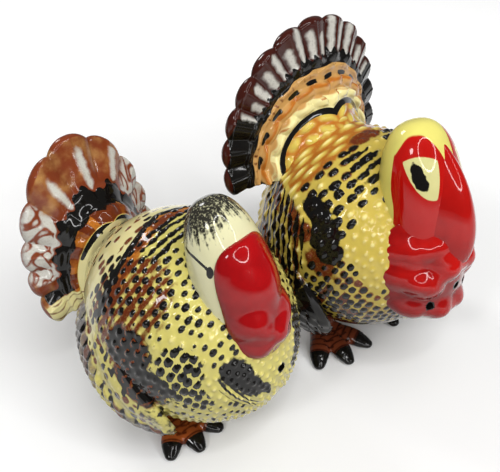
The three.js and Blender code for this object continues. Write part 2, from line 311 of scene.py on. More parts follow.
# The fan that rises from the rump, so that the body's clay can be sponged up to it in a soft fillet
FAN = {
    "tom": {"behind": 9, "above": 31, "lean": math.radians(8), "rim": 46, "side": 41, "spread": 104,
            "flare": 13, "sweep": 7, "feathers": 13, "fillet": 11},
    "hen": {"behind": 28, "above": 9, "lean": math.radians(16), "rim": 46, "side": 29, "spread": 124,
            "flare": 16, "sweep": 7, "feathers": 11, "fillet": 17},
}
FAN_ROOT = 8
LEAST_GAP = 0.2
OFF_FAN = 30


def fan_axes(bird):
    """The fan's root on the body, the way up the fan and the way straight back from it."""
    fan = FAN[bird]
    root = np.array([-fan["behind"], 0.0, BODY[bird]["middle"] + fan["above"]])
    rise = np.array([-math.sin(fan["lean"]), 0.0, math.cos(fan["lean"])])
    back = np.array([-math.cos(fan["lean"]), 0.0, -math.sin(fan["lean"])])
    return root, rise, back


def fan_reach(bird, angle):
    """How far the rim is from the fan's root."""
    fan = FAN[bird]
    wide = fan["side"] * np.cos(angle)
    tall = fan["rim"] * np.sin(angle)
    return fan["rim"] * fan["side"] / np.hypot(wide, tall)


def fan_depth(bird, angle, share):
    """How far back the feathers curve at a share of the way to the rim."""
    fan = FAN[bird]
    return fan["flare"] * (1 - (1 - share) ** 2) + fan["sweep"] * share * np.sin(angle) ** 2


def fillet(gap, size):
    """How thick the sponged clay is in a corner, at a gap from the other wall."""
    held = np.clip(gap, LEAST_GAP * size, size)
    return size * (1 - np.sqrt(held / size)) ** 2


def gap_to_fan(bird, points):
    """How far in front of the fan a point lies, and far off where it is past the fan's edge."""
    root, rise, back = fan_axes(bird)
    offset = points - root
    up = offset @ rise
    left = offset[..., 1]
    angle = np.arctan2(left, up)
    share = np.hypot(up, left) / fan_reach(bird, angle)
    gap = fan_depth(bird, angle, np.clip(share, 0, 1)) - offset @ back
    off_edge = smooth(np.degrees(np.abs(angle)), FAN[bird]["spread"] - 12, FAN[bird]["spread"] + 10)
    beyond = smooth(share, 0.9, 1.1)
    return np.maximum(gap, 0) + OFF_FAN * np.maximum(off_edge, beyond)


# Painted places on the tom. A dab is its middle and its reach, and a range its start, its end and how soft
# these are, in degrees from breast to rump and then from the back down either flank.
TOM_CLOSE = ((78, 106, 4), (34, 62, 4))
TOM_INKED = ((82, 118, 3), (14, 57, 4))
TOM_BLACK_DABS = [(100, 56, 9, 8), (90, 60, 9, 9), (81, 64, 7, 7)]
TOM_RUST_DABS = [(80, 73, 9, 6), (97, 67, 5, 5)]
TOM_NECK_DAB = (103, 17, 11, 11)
TOM_NAPE_DAB = (117, 5, 4, 7)
TOM_BELLY = (14, 112, 8)
TOM_RIDGES = (114, 150, 3)
QUILL_LINE = 5.4
QUILL_DASH = 14
CRACK_PITCH = 9.0


def tom_plumage(t, f):
    """How strongly each colour lies on the tom: t runs from breast to rump, f down either flank."""
    gap, ahead, row, column, row_t, column_f = feather_tips("tom", t, f)
    f = np.abs(f)
    luck = chance(row, column, 11)
    close = area(row_t, column_f, *TOM_CLOSE)
    tip = 0.5 + 0.6 * (0.64 + 0.3 * chance(row, column, 14) + 0.16 * close - gap)
    inked = 0.97 * area(row_t, column_f, *TOM_INKED)
    crowded = smooth(column_f + 0.25 * (row_t - 50), 56, 80) * between(row_t, 24, 86, 5)
    black = np.where(luck < np.maximum(inked, crowded), tip, 0)
    rust = np.where(chance(row, column, 12) < 0.8 * crowded, tip + 0.12, 0)
    rust = np.maximum(rust, np.where(luck < inked * smooth(row_t, 100, 112), tip + 0.1, 0))
    black = np.maximum(black, 1.1 * spots(t, f, TOM_BLACK_DABS))
    rust = np.maximum(rust, 1.1 * spots(t, f, TOM_RUST_DABS))
    neck = np.minimum(1, 1.6 * spot(t, f, *TOM_NECK_DAB))
    black = np.maximum(black, neck * (0.56 + 0.9 * (0.26 - np.abs(ahead)) + 0.3 * (luck - 0.5)))
    line = (t + 0.78 * (f - 72)) / QUILL_LINE
    phase = line - np.floor(line) - 0.5
    dash = np.cos(2 * math.pi * (f + 13 * chance(np.floor(line), 0 * line, 15)) / QUILL_DASH)
    quills = between(f, 60, 112, 4) * between(t + 0.5 * (f - 72), 91, 142, 4)
    brushed = 0.5 + 1.1 * (0.3 - np.abs(phase)) + 0.16 * (dash - 0.1)
    black = np.maximum(black * (1 - quills), quills * brushed)
    rust = np.maximum(rust, quills * (0.15 + 0.5 * chance(np.floor(line), np.floor(f / 15), 17)))
    edge = 77 + 12 * smooth(t, 72, 88)
    belly = smooth(f, edge - 7, edge + 7) * between(t, *TOM_BELLY)
    crack = smooth(np.cos(2 * math.pi * (t + 0.45 * f) / CRACK_PITCH), 0.86, 1.0)
    crack = crack * chance(row, np.floor(f / 9), 13)
    black = np.maximum(black, belly * (1.02 - 0.5 * gap) * (1 - 0.6 * crack))
    rust = np.maximum(rust, 0.9 * belly * chance(row, np.floor(f / 13), 16))
    rust = np.maximum(rust, 1.1 * spot(t, f, *TOM_NAPE_DAB))
    ridge = between(t, *TOM_RIDGES) * (1 - smooth(f, 54, 66))
    orange = ridge * (0.1 + 0.5 * gap)
    pale = (1 - smooth(gap, 0.2, 0.8)) * (0.5 + 0.4 * luck)
    raised = 0.55 + 0.45 * smooth(t, 72, 86)
    return {"black": black, "rust": rust, "orange": orange, "pale": pale, "cream": 0 * t}, gap, raised


def wing_rim(t):
    """How far down the flank the plain rim at the top of the hen's wing runs."""
    return 105 - 0.62 * np.maximum(0, t - 78)


# Painted places on the hen, given in the same way
HEN_FLANK = ((88, 124, 4), (50, 96, 4))
HEN_INKED = ((50, 124, 4), (6, 98, 4))
HEN_BREAST = ((18, 54, 4), (60, 94, 5))
HEN_WASH_DABS = [(102, 46, 15, 18), (98, 66, 13, 14)]
HEN_SCALE_DABS = [(90, 72, 11, 11), (77, 84, 13, 11)]
HEN_NET_DABS = [(66, 60, 9, 10), (62, 70, 10, 9), (54, 76, 9, 8)]
HEN_BLACK_DABS = [(42, 42, 10, 13), (31, 44, 10, 13), (21, 36, 5, 9)]
HEN_NAPE = (104, 122, 3)
HEN_RIM = (66, 124, 8)
SCRATCH_PITCH = 5.0
RIM_DASH = 8.5


def hen_plumage(t, f):
    """How strongly each colour lies on the hen, in the same degrees as on the tom."""
    gap, ahead, row, column, row_t, column_f = feather_tips("hen", t, f)
    f = np.abs(f)
    luck = chance(row, column, 21)
    flank = area(row_t, column_f, *HEN_FLANK)
    tip = 0.5 + 0.6 * (0.58 + 0.34 * chance(row, column, 25) + 0.2 * flank - gap)
    inked = 0.97 * area(row_t, column_f, *HEN_INKED)
    inked = np.maximum(inked, 0.75 * area(row_t, column_f, *HEN_BREAST))
    stroke = smooth(np.abs(ahead), 0.1, 0.4) * (0.5 + 0.6 * chance(row, np.floor(f / 9), 22))
    wash = np.minimum(1, 1.9 * spots(t, f, HEN_WASH_DABS))
    rust = np.maximum(wash, 0.9 * flank) * (0.42 + 0.4 * stroke)
    scales = np.minimum(1, 1.6 * spots(t, f, HEN_SCALE_DABS))
    net = np.minimum(1, 1.6 * spots(t, f, HEN_NET_DABS))
    black = np.where(luck < inked, tip, 0) * (1 - np.maximum(scales, net))
    crescent = between(gap, 0.5, 0.95, 0.1) * smooth(ahead, -0.25, 0.05) * smooth(luck, 0.15, 0.4)
    black = np.maximum(black, scales * (0.86 - 0.6 * crescent))
    rust = np.maximum(rust, 0.95 * scales)
    black = np.maximum(black, net * (0.98 - 0.8 * smooth(gap, 0.9, 1.2)))
    rust = rust * (1 - net)
    scratch = np.cos(2 * math.pi * (f + 0.55 * t) / SCRATCH_PITCH)
    black = np.maximum(black, spots(t, f, HEN_BLACK_DABS) * (0.98 + 0.16 * scratch * smooth(f, 44, 56)))
    trails = between(t, 16, 48, 4) * between(f + 0.55 * t, 72, 86, 3)
    black = np.maximum(black, trails * (0.42 + 0.3 * scratch))
    nape = between(t, *HEN_NAPE) * (1 - smooth(f, 24, 38))
    black = np.maximum(black, nape * (0.5 + 0.9 * (0.22 - np.abs(ahead)) + 0.3 * (luck - 0.5)))
    behind = t - (129 - 0.23 * f)
    ends = 1 - smooth(f, 68, 80)
    black = np.maximum(black, np.clip(1 - np.abs(behind) / 4.0, 0, 1) * ends)
    ahead_of_line = between(behind, -8.4, -1.0, 1.4) * (1 - smooth(f, 62, 84))
    orange = 0.78 * ahead_of_line
    rust = np.maximum(rust, ahead_of_line * (0.2 + 0.5 * chance(row, np.floor(f / 6), 26)))
    cream = smooth(behind, -0.5, 2.0)
    sides = 1 - smooth(f, 96, 112)
    dabs = np.where(chance(row, column, 24) < 0.5 - 0.4 * smooth(behind, 4, 22), tip + 0.08, 0)
    rust = np.maximum(rust, cream * dabs * sides)
    black = np.maximum(black, cream * np.where(chance(row, column, 30) < 0.14, tip, 0) * sides)
    below_rim = f - wing_rim(t)
    plain = between(below_rim, -6, 9, 2) * between(t, *HEN_RIM)
    worn = np.where(chance(row, column, 28) < 0.5, tip, 0)
    dash = np.cos(2 * math.pi * t / RIM_DASH + 3 * chance(row, 0 * row, 27))
    dash = between(below_rim, -9, -3, 1.5) * dash
    black = np.maximum(np.maximum(black * (1 - plain), 0.75 * dash), plain * worn)
    rust = np.maximum(rust * (1 - plain), plain * np.where(chance(row, column, 29) < 0.5, tip + 0.1, 0))
    pale = (1 - smooth(gap, 0.2, 0.8)) * (0.35 + 0.4 * luck)
    raised = (1 - cream) * (1 - plain)
    return {"black": black, "rust": rust, "orange": orange, "pale": pale, "cream": cream}, gap, raised


PLUMAGE = {"tom": tom_plumage, "hen": hen_plumage}


def paint(red, green, blue):
    """A colour as a paint card gives it, 0 to 255, made linear for a shader."""
    shares = [value / 255 for value in (red, green, blue)]
    linear = [v / 12.92 if v <= 0.04045 else ((v + 0.055) / 1.055) ** 2.4 for v in shares]
    return (*linear, 1.0)


def new_group(name, inputs, outputs):
    """A shader group with named sockets; gives the group, what it is given and what it puts out."""
    group = bpy.data.node_groups.new(name, "ShaderNodeTree")
    for label, kind, value in inputs:
        group.interface.new_socket(label, in_out="INPUT", socket_type=kind).default_value = value
    for label, kind in outputs:
        group.interface.new_socket(label, in_out="OUTPUT", socket_type=kind)
    return group, group.nodes.new("NodeGroupInput").outputs, group.nodes.new("NodeGroupOutput").inputs


def add_noise(nodes, links, scale, detail):
    """Noise on the piece's own coordinates; the scale is a number or a socket."""
    where = nodes.new("ShaderNodeTexCoord")
    noise = nodes.new("ShaderNodeTexNoise")
    noise.inputs["Detail"].default_value = detail
    links.new(where.outputs["Object"], noise.inputs["Vector"])
    if isinstance(scale, (int, float)):
        noise.inputs["Scale"].default_value = scale
    else:
        links.new(scale, noise.inputs["Scale"])
    return noise.outputs["Fac"]


def add_math(nodes, links, operation, *values):
    node = nodes.new("ShaderNodeMath")
    node.operation = operation
    for socket, value in zip(node.inputs, values):
        if isinstance(value, (int, float)):
            socket.default_value = value
        else:
            links.new(value, socket)
    return node.outputs[0]


def add_mix(nodes, links, share, under, over):
    """One colour laid over another by a share of 0 to 1."""
    node = nodes.new("ShaderNodeMix")
    node.data_type = "RGBA"
    for socket, value in ((node.inputs[0], share), (node.inputs[6], under), (node.inputs[7], over)):
        if isinstance(value, (int, float, tuple)):
            socket.default_value = value
        else:
            links.new(value, socket)
    return node.outputs[2]


# A brushed edge: a field of 0 to 1 is cut at its half, with the wander and dry streaks of a brush
STREAK_GRAIN = 1600.0
STREAK_START = 0.5
STREAK_FULL = 0.7
brush_edge, given, put = new_group(
    "brush_edge",
    [("Field", "NodeSocketFloat", 0.0), ("Wander", "NodeSocketFloat", 0.25),
     ("Grain", "NodeSocketFloat", 700.0), ("Soft", "NodeSocketFloat", 0.08),
     ("Dry", "NodeSocketFloat", 0.25)],
    [("Mask", "NodeSocketFloat")],
)
nodes, links = brush_edge.nodes, brush_edge.links
sway = add_noise(nodes, links, given["Grain"], 3.0)
sway = add_math(nodes, links, "SUBTRACT", sway, 0.5)
sway = add_math(nodes, links, "MULTIPLY", sway, given["Wander"])
edge = add_math(nodes, links, "ADD", given["Field"], sway)
cut = nodes.new("ShaderNodeMapRange")
cut.interpolation_type = "SMOOTHSTEP"
links.new(edge, cut.inputs["Value"])
links.new(add_math(nodes, links, "SUBTRACT", 0.5, given["Soft"]), cut.inputs["From Min"])
links.new(add_math(nodes, links, "ADD", 0.5, given["Soft"]), cut.inputs["From Max"])
streak = add_noise(nodes, links, STREAK_GRAIN, 2.0)
thin = nodes.new("ShaderNodeMapRange")
thin.interpolation_type = "SMOOTHSTEP"
links.new(streak, thin.inputs["Value"])
thin.inputs["From Min"].default_value = STREAK_START
thin.inputs["From Max"].default_value = STREAK_FULL
streak = add_math(nodes, links, "MULTIPLY", thin.outputs["Result"], given["Dry"])
cover = add_math(nodes, links, "SUBTRACT", 1.0, streak)
links.new(add_math(nodes, links, "MULTIPLY", cut.outputs["Result"], cover), put["Mask"])

# Glaze colour: it breaks pale over high spots, pools darker in hollows and carries faint cloudy changes
CLOUD_GRAIN = 110.0
glaze_pool, given, put = new_group(
    "glaze_pool",
    [("Colour", "NodeSocketColor", (1, 1, 1, 1)), ("High", "NodeSocketFloat", 0.5),
     ("Break", "NodeSocketFloat", 0.2), ("Cloud", "NodeSocketFloat", 0.2)],
    [("Colour", "NodeSocketColor")],
)
nodes, links = glaze_pool.nodes, glaze_pool.links
cloud = add_noise(nodes, links, CLOUD_GRAIN, 4.0)
cloud = add_math(nodes, links, "SUBTRACT", cloud, 0.5)
cloud = add_math(nodes, links, "MULTIPLY", cloud, given["Cloud"])
lift = add_math(nodes, links, "SUBTRACT", given["High"], 0.5)
lift = add_math(nodes, links, "MULTIPLY", lift, given["Break"])
level = add_math(nodes, links, "ADD", add_math(nodes, links, "ADD", lift, cloud), 1.0)
tone = nodes.new("ShaderNodeHueSaturation")
links.new(given["Colour"], tone.inputs["Color"])
links.new(level, tone.inputs["Value"])
links.new(tone.outputs["Color"], put["Colour"])

# Glaze surface: the slow ripple of a dipped glaze that has run and set
glaze_ripple, given, put = new_group(
    "glaze_ripple",
    [("Size", "NodeSocketFloat", 160.0)],
    [("Height", "NodeSocketFloat")],
)
ripple = add_noise(glaze_ripple.nodes, glaze_ripple.links, given["Size"], 1.0)
glaze_ripple.links.new(ripple, put["Height"])

CLAY_ROUGHNESS = 0.24
CLAY_SHINE = 0.04
GLAZE_ROUGHNESS = 0.035
GLAZE_INDEX = 1.37
GLAZE_BREAK = 0.3
GLAZE_CLOUD = 0.25


def painted_glaze(name, ground, layers, ripple_size=140.0, ripple_depth=0.05):
    """Brushed colours over a ground colour, then the clear glaze over all. A layer is the field that it
    follows, its paint, how far its edge wanders, the grain of that, how soft the edge is and how dry."""
    material = bpy.data.materials.new(name)
    material.use_nodes = True
    nodes, links = material.node_tree.nodes, material.node_tree.links
    surface = nodes["Principled BSDF"]
    colour = ground
    for field, over, wander, grain, soft, dry in layers:
        read = nodes.new("ShaderNodeAttribute")
        read.attribute_name = field
        brush = nodes.new("ShaderNodeGroup")
        brush.node_tree = brush_edge
        links.new(read.outputs["Fac"], brush.inputs["Field"])
        for label, value in (("Wander", wander), ("Grain", grain), ("Soft", soft), ("Dry", dry)):
            brush.inputs[label].default_value = value
        colour = add_mix(nodes, links, brush.outputs["Mask"], colour, over)
    height = nodes.new("ShaderNodeAttribute")
    height.attribute_name = "high"
    pool = nodes.new("ShaderNodeGroup")
    pool.node_tree = glaze_pool
    links.new(height.outputs["Fac"], pool.inputs["High"])
    links.new(colour, pool.inputs["Colour"])
    pool.inputs["Break"].default_value = GLAZE_BREAK
    pool.inputs["Cloud"].default_value = GLAZE_CLOUD
    links.new(pool.outputs["Colour"], surface.inputs["Base Color"])
    run = nodes.new("ShaderNodeGroup")
    run.node_tree = glaze_ripple
    run.inputs["Size"].default_value = ripple_size
    bump = nodes.new("ShaderNodeBump")
    bump.inputs["Strength"].default_value = ripple_depth
    bump.inputs["Distance"].default_value = MM
    links.new(run.outputs["Height"], bump.inputs["Height"])
    links.new(bump.outputs["Normal"], surface.inputs["Normal"])
    surface.inputs["Roughness"].default_value = CLAY_ROUGHNESS
    surface.inputs["Specular IOR Level"].default_value = CLAY_SHINE
    surface.inputs["Coat Weight"].default_value = 1.0
    surface.inputs["Coat Roughness"].default_value = GLAZE_ROUGHNESS
    surface.inputs["Coat IOR"].default_value = GLAZE_INDEX
    return material


YELLOW = {"tom": paint(216, 192, 88), "hen": paint(222, 210, 116)}
PALE_YELLOW = paint(240, 226, 150)
CREAM = paint(238, 228, 164)
ORANGE = paint(188, 112, 36)
RUST = paint(112, 48, 18)
INK = paint(16, 14, 12)
plumage_layers = [
    ("pale", PALE_YELLOW, 0.3, 500.0, 0.3, 0.0),
    ("cream", CREAM, 0.15, 300.0, 0.2, 0.0),
    ("orange", ORANGE, 0.3, 420.0, 0.2, 0.15),
    ("rust", RUST, 0.4, 560.0, 0.14, 0.12),
    ("black", INK, 0.4, 480.0, 0.06, 0.0),
]
body_paint = {bird: painted_glaze(f"{bird}_plumage_glaze", YELLOW[bird], plumage_layers) for bird in BODY}

BODY_ROWS = 232
BODY_COLUMNS = 408
TIP_HEIGHT = {"tom": 0.75, "hen": 0.62}
RIDGE_FADE = {"tom": (5.0, 9.0), "hen": (0.2, 1.6)}
BELLY_FADE = (104, 122)
SEAT_RADIUS = 8.5
FILL_RADIUS = 6.2
FILL_DEPTH = 10
POUR_RADIUS = 1.4
POUR_START = 20
POUR_LENGTH = 45
# Pour holes: how far across the bird each is, and how far above the body's middle
POUR_PLACES = {"tom": [(-10.3, -6), (0, -0.5), (10.3, -6)], "hen": [(0, 1)]}
POUR_BORES = {
    bird: [((POUR_START, across, BODY[bird]["middle"] + above), (POUR_LENGTH, 0, 0), POUR_RADIUS)
           for across, above in places]
    for bird, places in POUR_PLACES.items()
}
SEAT_HEIGHT = {"tom": 8.8, "hen": 6.4}


def tip_dome(gap):
    """A rounded rise, 1 in the middle of a feather tip and 0 at its edge."""
    return np.where(gap < 1, 0.5 + 0.5 * np.cos(math.pi * np.minimum(gap, 1)), 0)


def dress_body(bird, along, around):
    """The egg with its feather tips and its fillet up to the fan, and the paint on it."""
    t = np.degrees(along)
    f = np.degrees(around)
    fields, gap, raised = PLUMAGE[bird](t, f)
    plain = body_point(bird, along, around)
    size = FAN[bird]["fillet"]
    swell = fillet(gap_to_fan(bird, plain), size)
    fade = 1 - smooth(swell, *RIDGE_FADE[bird])
    fade = fade * raised * (1 - smooth(np.abs(f), *BELLY_FADE))
    dome = tip_dome(gap)
    height = TIP_HEIGHT[bird] * dome * fade + swell
    fields["high"] = 0.25 + 0.6 * dome * fade
    return plain + body_normal(bird, along, around) * height[..., None], fields


along, around, body_faces = ball_grid(BODY_ROWS, BODY_COLUMNS)
for bird in BODY:
    points, fields = dress_body(bird, along, around)
    bores = [
        ((0, 0, 0), (0, 0, SEAT_HEIGHT[bird]), SEAT_RADIUS),
        ((0, 0, 0), (0, 0, SEAT_HEIGHT[bird] + FILL_DEPTH), FILL_RADIUS),
    ]
    bores += POUR_BORES[bird]
    piece = make_piece(f"{bird}_body_casting", bird, points, body_faces, fields, body_paint[bird], bores)
    paint_bore_shade(piece, bird, POUR_BORES[bird])
    fit_piece(piece, bird, f"{bird}_body")


# Tail fans: each is a cast trumpet-shaped fan of feathers with scalloped tips, in overlapping rows, luted
# to the rump. The rows are banded by brush: cream and tan scallops, black bands, and brown rim feathers
# streaked with white.

FAN_STEPS_PER_FEATHER = 28
FAN_FRONT_ROWS = 150
FAN_RIM_ROWS = 10
FAN_BACK_ROWS = 60
RIM_SCALLOP = {"tom": 1.6, "hen": 2.0}
RIM_THICK = 3.0
ROOT_THICK = 9.0
LEFT = np.array([0.0, 1.0, 0.0])


# Bands on the fans, in shares of the way from the edge of the rows (0) to the rim (1): where a band starts,
# where it ends and how soft its edges are
TOM_FAN = {
    "first_black": (-0.02, 0.055, 0.015), "ovals": (0.33, 0.39, 0.014), "cream": (0.05, 0.19, 0.02),
    "tan": (0.18, 0.5, 0.02), "orange": (0.28, 0.335, 0.03), "thin_orange": (0.16, 0.19, 0.015),
    "rust": (0.39, 0.475, 0.02), "side_black": (0.5, 0.95, 0.03),
}
HEN_FAN = {
    "first_black": (0.03, 0.085, 0.014), "orange": (0.09, 0.23, 0.02), "side_black": (0.4, 0.86, 0.06),
}


def fan_paint_tom(angle, w, place):
    """Paint on the tom's fan: w is the share of the way to the rim, and place counts the feathers."""
    a = np.degrees(np.abs(angle))
    half = np.floor(2 * place)
    luck = chance(half, 0 * half, 31)
    black = between(w, *TOM_FAN["first_black"])
    ovals = 0.5 + 0.5 * np.cos(2 * math.pi * place * 0.85 + 1.0)
    black = np.maximum(black, between(w, *TOM_FAN["ovals"]) * (0.25 + 0.6 * ovals))
    ragged = 0.03 * np.cos(place * 17) + 0.05 * luck
    black = np.maximum(black, between(w, 0.475, 0.58 + ragged, 0.02))
    at_side = 0.95 * smooth(a, 50, 70) * between(w, *TOM_FAN["side_black"])
    black = np.maximum(black, at_side * (0.75 + 0.3 * luck))
    cream = between(w, *TOM_FAN["cream"]) * 0.9
    tan = between(w, *TOM_FAN["tan"])
    orange = between(w, *TOM_FAN["orange"]) * 0.75
    orange = np.maximum(orange, between(w, *TOM_FAN["thin_orange"]) * 0.8 * luck)
    dash = 0.5 + 0.5 * np.cos(2 * math.pi * place * 3)
    worn = 0.4 + 0.7 * chance(np.floor(place), 0 * place, 32)
    rust = between(w, *TOM_FAN["rust"]) * (0.1 + 0.5 * dash) * worn
    brown = smooth(w, 0.49, 0.52)
    stripe = 1 - np.abs(2 * place - half - 0.5) / 0.5
    length = 0.76 + 0.22 * luck - 0.2 * smooth(a, 40, 75)
    white = smooth(w, 0.57, 0.6) * (0.14 + 0.75 * stripe) * (1 - smooth(w, length, length + 0.14))
    white = white * (1 - 0.6 * smooth(a, 58, 78))
    return {"cream": cream, "tan": tan, "orange": orange, "rust": rust, "brown": brown, "white": white,
            "black": black, "squiggle": 0 * w}


def fan_paint_hen(angle, w, place):
    """Paint on the hen's fan, given in the same way."""
    a = np.degrees(np.abs(angle))
    feather = np.floor(place)
    quill = 2 * (place - feather) - 1
    luck = chance(feather, 0 * feather, 41)
    square = np.floor(2.5 * place)
    cream = 1 - smooth(w, 0.05, 0.11)
    tan = smooth(w, 0.3, 0.4)
    black = between(w, *HEN_FAN["first_black"]) * (1 - smooth(a, 62, 78))
    orange = between(w, *HEN_FAN["orange"])
    rust = orange * (0.3 + 0.65 * chance(square, 0 * square, 42))
    ragged = 0.05 * np.cos(place * 4.7 + 1) + 0.025 * np.cos(place * 13)
    thinned = 0.62 + 0.35 * chance(square, 1 + 0 * square, 43)
    black = np.maximum(black, between(w, 0.21, 0.44 + ragged, 0.03) * thinned)
    black = np.maximum(black, 0.9 * smooth(a, 94, 106) * between(w, *HEN_FAN["side_black"]))
    brown = smooth(w, 0.22, 0.3) * (0.92 - 0.3 * smooth(w, 0.4, 0.6))
    pale = smooth(w - ragged, 0.42, 0.5)
    white = pale * between(a, 34, 90, 8) * (0.56 + 0.4 * luck)
    streak = (1 - np.abs(quill - 0.2) / 0.5) * (1 - smooth(w, 0.66 + 0.24 * luck, 0.95))
    white = np.maximum(white, 0.9 * pale * streak)
    along_loop = 2.5 * quill + 4 * luck + 1.8 * np.sin(9 * w + 7 * luck)
    up_loop = 10 * (w - 0.5) + 5 * luck + 1.6 * np.sin(2.8 * quill + 9 * luck)
    ring = np.cos(along_loop) * np.cos(up_loop)
    squiggle = smooth(w, 0.46, 0.52) * between(a, 30, 94, 8) * (0.78 - 1.0 * np.abs(ring - 0.1))
    low_edge = smooth(a, 106, 112)
    colours = {"orange": orange, "rust": rust, "brown": brown, "white": white, "black": black}
    colours = {name: field * (1 - low_edge) for name, field in colours.items()}
    waves = 0.22 + 0.36 * np.cos(a * 1.1 + 3 * np.sin(7 * w))
    colours["rust"] = np.maximum(colours["rust"], low_edge * waves)
    colours["cream"] = np.maximum(cream, low_edge)
    return colours | {"tan": tan, "squiggle": squiggle}


FAN_PAINT = {"tom": fan_paint_tom, "hen": fan_paint_hen}
# Overlapping rows on each fan, from the body outwards: where a row's petals begin and end, and its lift
FAN_TIERS = {
    "tom": [(0.05, 0.19, 1.9), (0.19, 0.335, 1.5), (0.385, 0.48, 0.9), (0.48, 0.6, 0.5)],
    "hen": [(0.08, 0.22, 1.0), (0.22, 0.44, 0.8)],
}
FAN_EDGE = {"tom": (0.28, 0.0028), "hen": (0.25, 0.0027)}
RIDGE_PITCH = 3.4
RIDGE_LENGTH = 10.0
RIDGE_HEIGHT = {"tom": 0.8, "hen": 0.0}
RIDGE_HALF = (0.46, 0.48)
SCALLOP_ROUND = 2.4
PETALS_PER_FEATHER = 0.8
PETAL_CROWN = 0.9
PETAL_DIP = 0.045
PETAL_ROUND = 2.2
VANE_CROWN = 1.5
SHAFT_HEIGHT = 0.35
SHAFT_WIDTH = 0.07
BARB_HEIGHT = 0.06
BARB_COUNT = 74
BARB_SLANT = 5
BACK_RIB = 0.8


def dress_fan(bird):
    """The fan as one closed skin, front, rim and back, with its petals, vanes and paint."""
    fan = FAN[bird]
    count = fan["feathers"] * FAN_STEPS_PER_FEATHER + 1
    rows = FAN_FRONT_ROWS + FAN_RIM_ROWS + FAN_BACK_ROWS
    spread = math.radians(fan["spread"])
    across = np.linspace(0, 1, count)[:, None] * np.ones(rows)
    angle = (2 * across - 1) * spread
    place = across * fan["feathers"]
    feather = np.minimum(np.floor(place), fan["feathers"] - 1)
    quill = 2 * (place - feather) - 1
    front_out = np.linspace(0, 1, FAN_FRONT_ROWS)
    turn = np.linspace(0, math.pi, FAN_RIM_ROWS + 2)[1:-1]
    back_out = np.linspace(1, 0, FAN_BACK_ROWS)
    out = np.concatenate([front_out, np.ones(FAN_RIM_ROWS), back_out])[None, :] * np.ones((count, 1))
    past = np.concatenate([0 * front_out, np.sin(turn), 0 * back_out])[None, :]
    behind = np.concatenate([0 * front_out, (1 - np.cos(turn)) / 2, 1 + 0 * back_out])[None, :] + 0 * out
    reach = fan_reach(bird, angle)
    notch = RIM_SCALLOP[bird] * np.abs(quill) ** SCALLOP_ROUND
    soft_edge = RIM_THICK / 2
    radius = FAN_ROOT + (reach - soft_edge - notch - FAN_ROOT) * out + soft_edge * past
    share = radius / reach
    low, slope = FAN_EDGE[bird]
    start = low + slope * np.degrees(np.abs(angle))
    w = (share - start) / (1 - start)
    fields = FAN_PAINT[bird](angle, w, place)
    lift = 0 * w
    for index, (begin, end, height) in enumerate(FAN_TIERS[bird]):
        cell = PETALS_PER_FEATHER * place + 0.5 * (index % 2)
        in_cell = 2 * (cell - np.floor(cell)) - 1
        edge = end - PETAL_DIP * np.abs(in_cell) ** PETAL_ROUND
        petal = PETAL_CROWN * np.cos(in_cell * math.pi / 2) * smooth(w, begin, begin + 0.06)
        rising = 0.5 + 0.5 * smooth(w, end - 0.16, end - 0.02)
        lift = lift + height * (0.5 + petal) * rising * (1 - smooth(w, edge - 0.012, edge + 0.016))
    inward = -w * (1 - start) * reach / RIDGE_PITCH
    arc = angle * start * reach / RIDGE_LENGTH + 0.5 * (np.floor(inward) % 2)
    in_ridge = (inward - np.floor(inward) - 0.5) / RIDGE_HALF[0]
    along_ridge = (arc - np.floor(arc) - 0.5) / RIDGE_HALF[1]
    ridge_gap = np.hypot(in_ridge, along_ridge)
    root_part = RIDGE_HEIGHT[bird] * (1 - smooth(w, -0.03, 0.0))
    lift = lift + root_part * tip_dome(ridge_gap)
    fields["orange"] = np.maximum(fields["orange"], root_part * (0.15 + 0.6 * ridge_gap))
    vane = smooth(w, 0.42, 0.62)
    shaft = np.exp(-(quill / SHAFT_WIDTH) ** 2)
    barb = np.cos((w * BARB_COUNT - np.abs(quill) * BARB_SLANT) * math.pi)
    crown = VANE_CROWN * (1 - quill ** 2) - VANE_CROWN / 2
    lift = lift + vane * (crown + SHAFT_HEIGHT * shaft + BARB_HEIGHT * barb)
    rounded = np.clip(1 - behind, 0, 1)
    depth = fan_depth(bird, angle, np.clip(share, 0, 1)) - lift * rounded
    thick = RIM_THICK + (ROOT_THICK - RIM_THICK) * (1 - out)
    ribbed = BACK_RIB * (1 - quill ** 2) * smooth(out, 0.3, 0.8) * behind
    root, rise, back = fan_axes(bird)
    points = (
        root + (radius * np.cos(angle))[..., None] * rise
        + (radius * np.sin(angle))[..., None] * LEFT
        + (depth + thick * behind + ribbed)[..., None] * back
    )
    near = (body_place(bird, points)[2] - 1) * BODY[bird]["height"]
    swell = fillet(np.maximum(near, 0), fan["fillet"]) * (near < fan["fillet"])
    points = points - (swell * rounded)[..., None] * back
    hidden = 1 - rounded
    brown = np.maximum(fields["brown"], hidden * smooth(w, 0.3, 0.5))
    for field in fields:
        fields[field] = (fields[field] * rounded).ravel()
    fields["brown"] = np.maximum(brown, smooth(w, 0.95, 0.98)).ravel()
    fields["rust"] = np.maximum(fields["rust"], (0.9 * hidden).ravel())
    fields["high"] = np.clip(0.5 + 0.35 * (1 - quill ** 2) * vane + 0.2 * lift - 0.25, 0, 1).ravel()
    index = np.arange(count * rows).reshape(count, rows)
    quads = np.stack([index[:-1, :-1], index[1:, :-1], index[1:, 1:], index[:-1, 1:]], axis=-1)
    quads = quads.reshape(-1, 4)
    closing = np.stack([index[:-1, -1], index[1:, -1], index[1:, 0], index[:-1, 0]], axis=-1)
    faces = quads.tolist() + closing.tolist() + [index[0].tolist(), index[-1][::-1].tolist()]
    return points.reshape(-1, 3), faces, fields


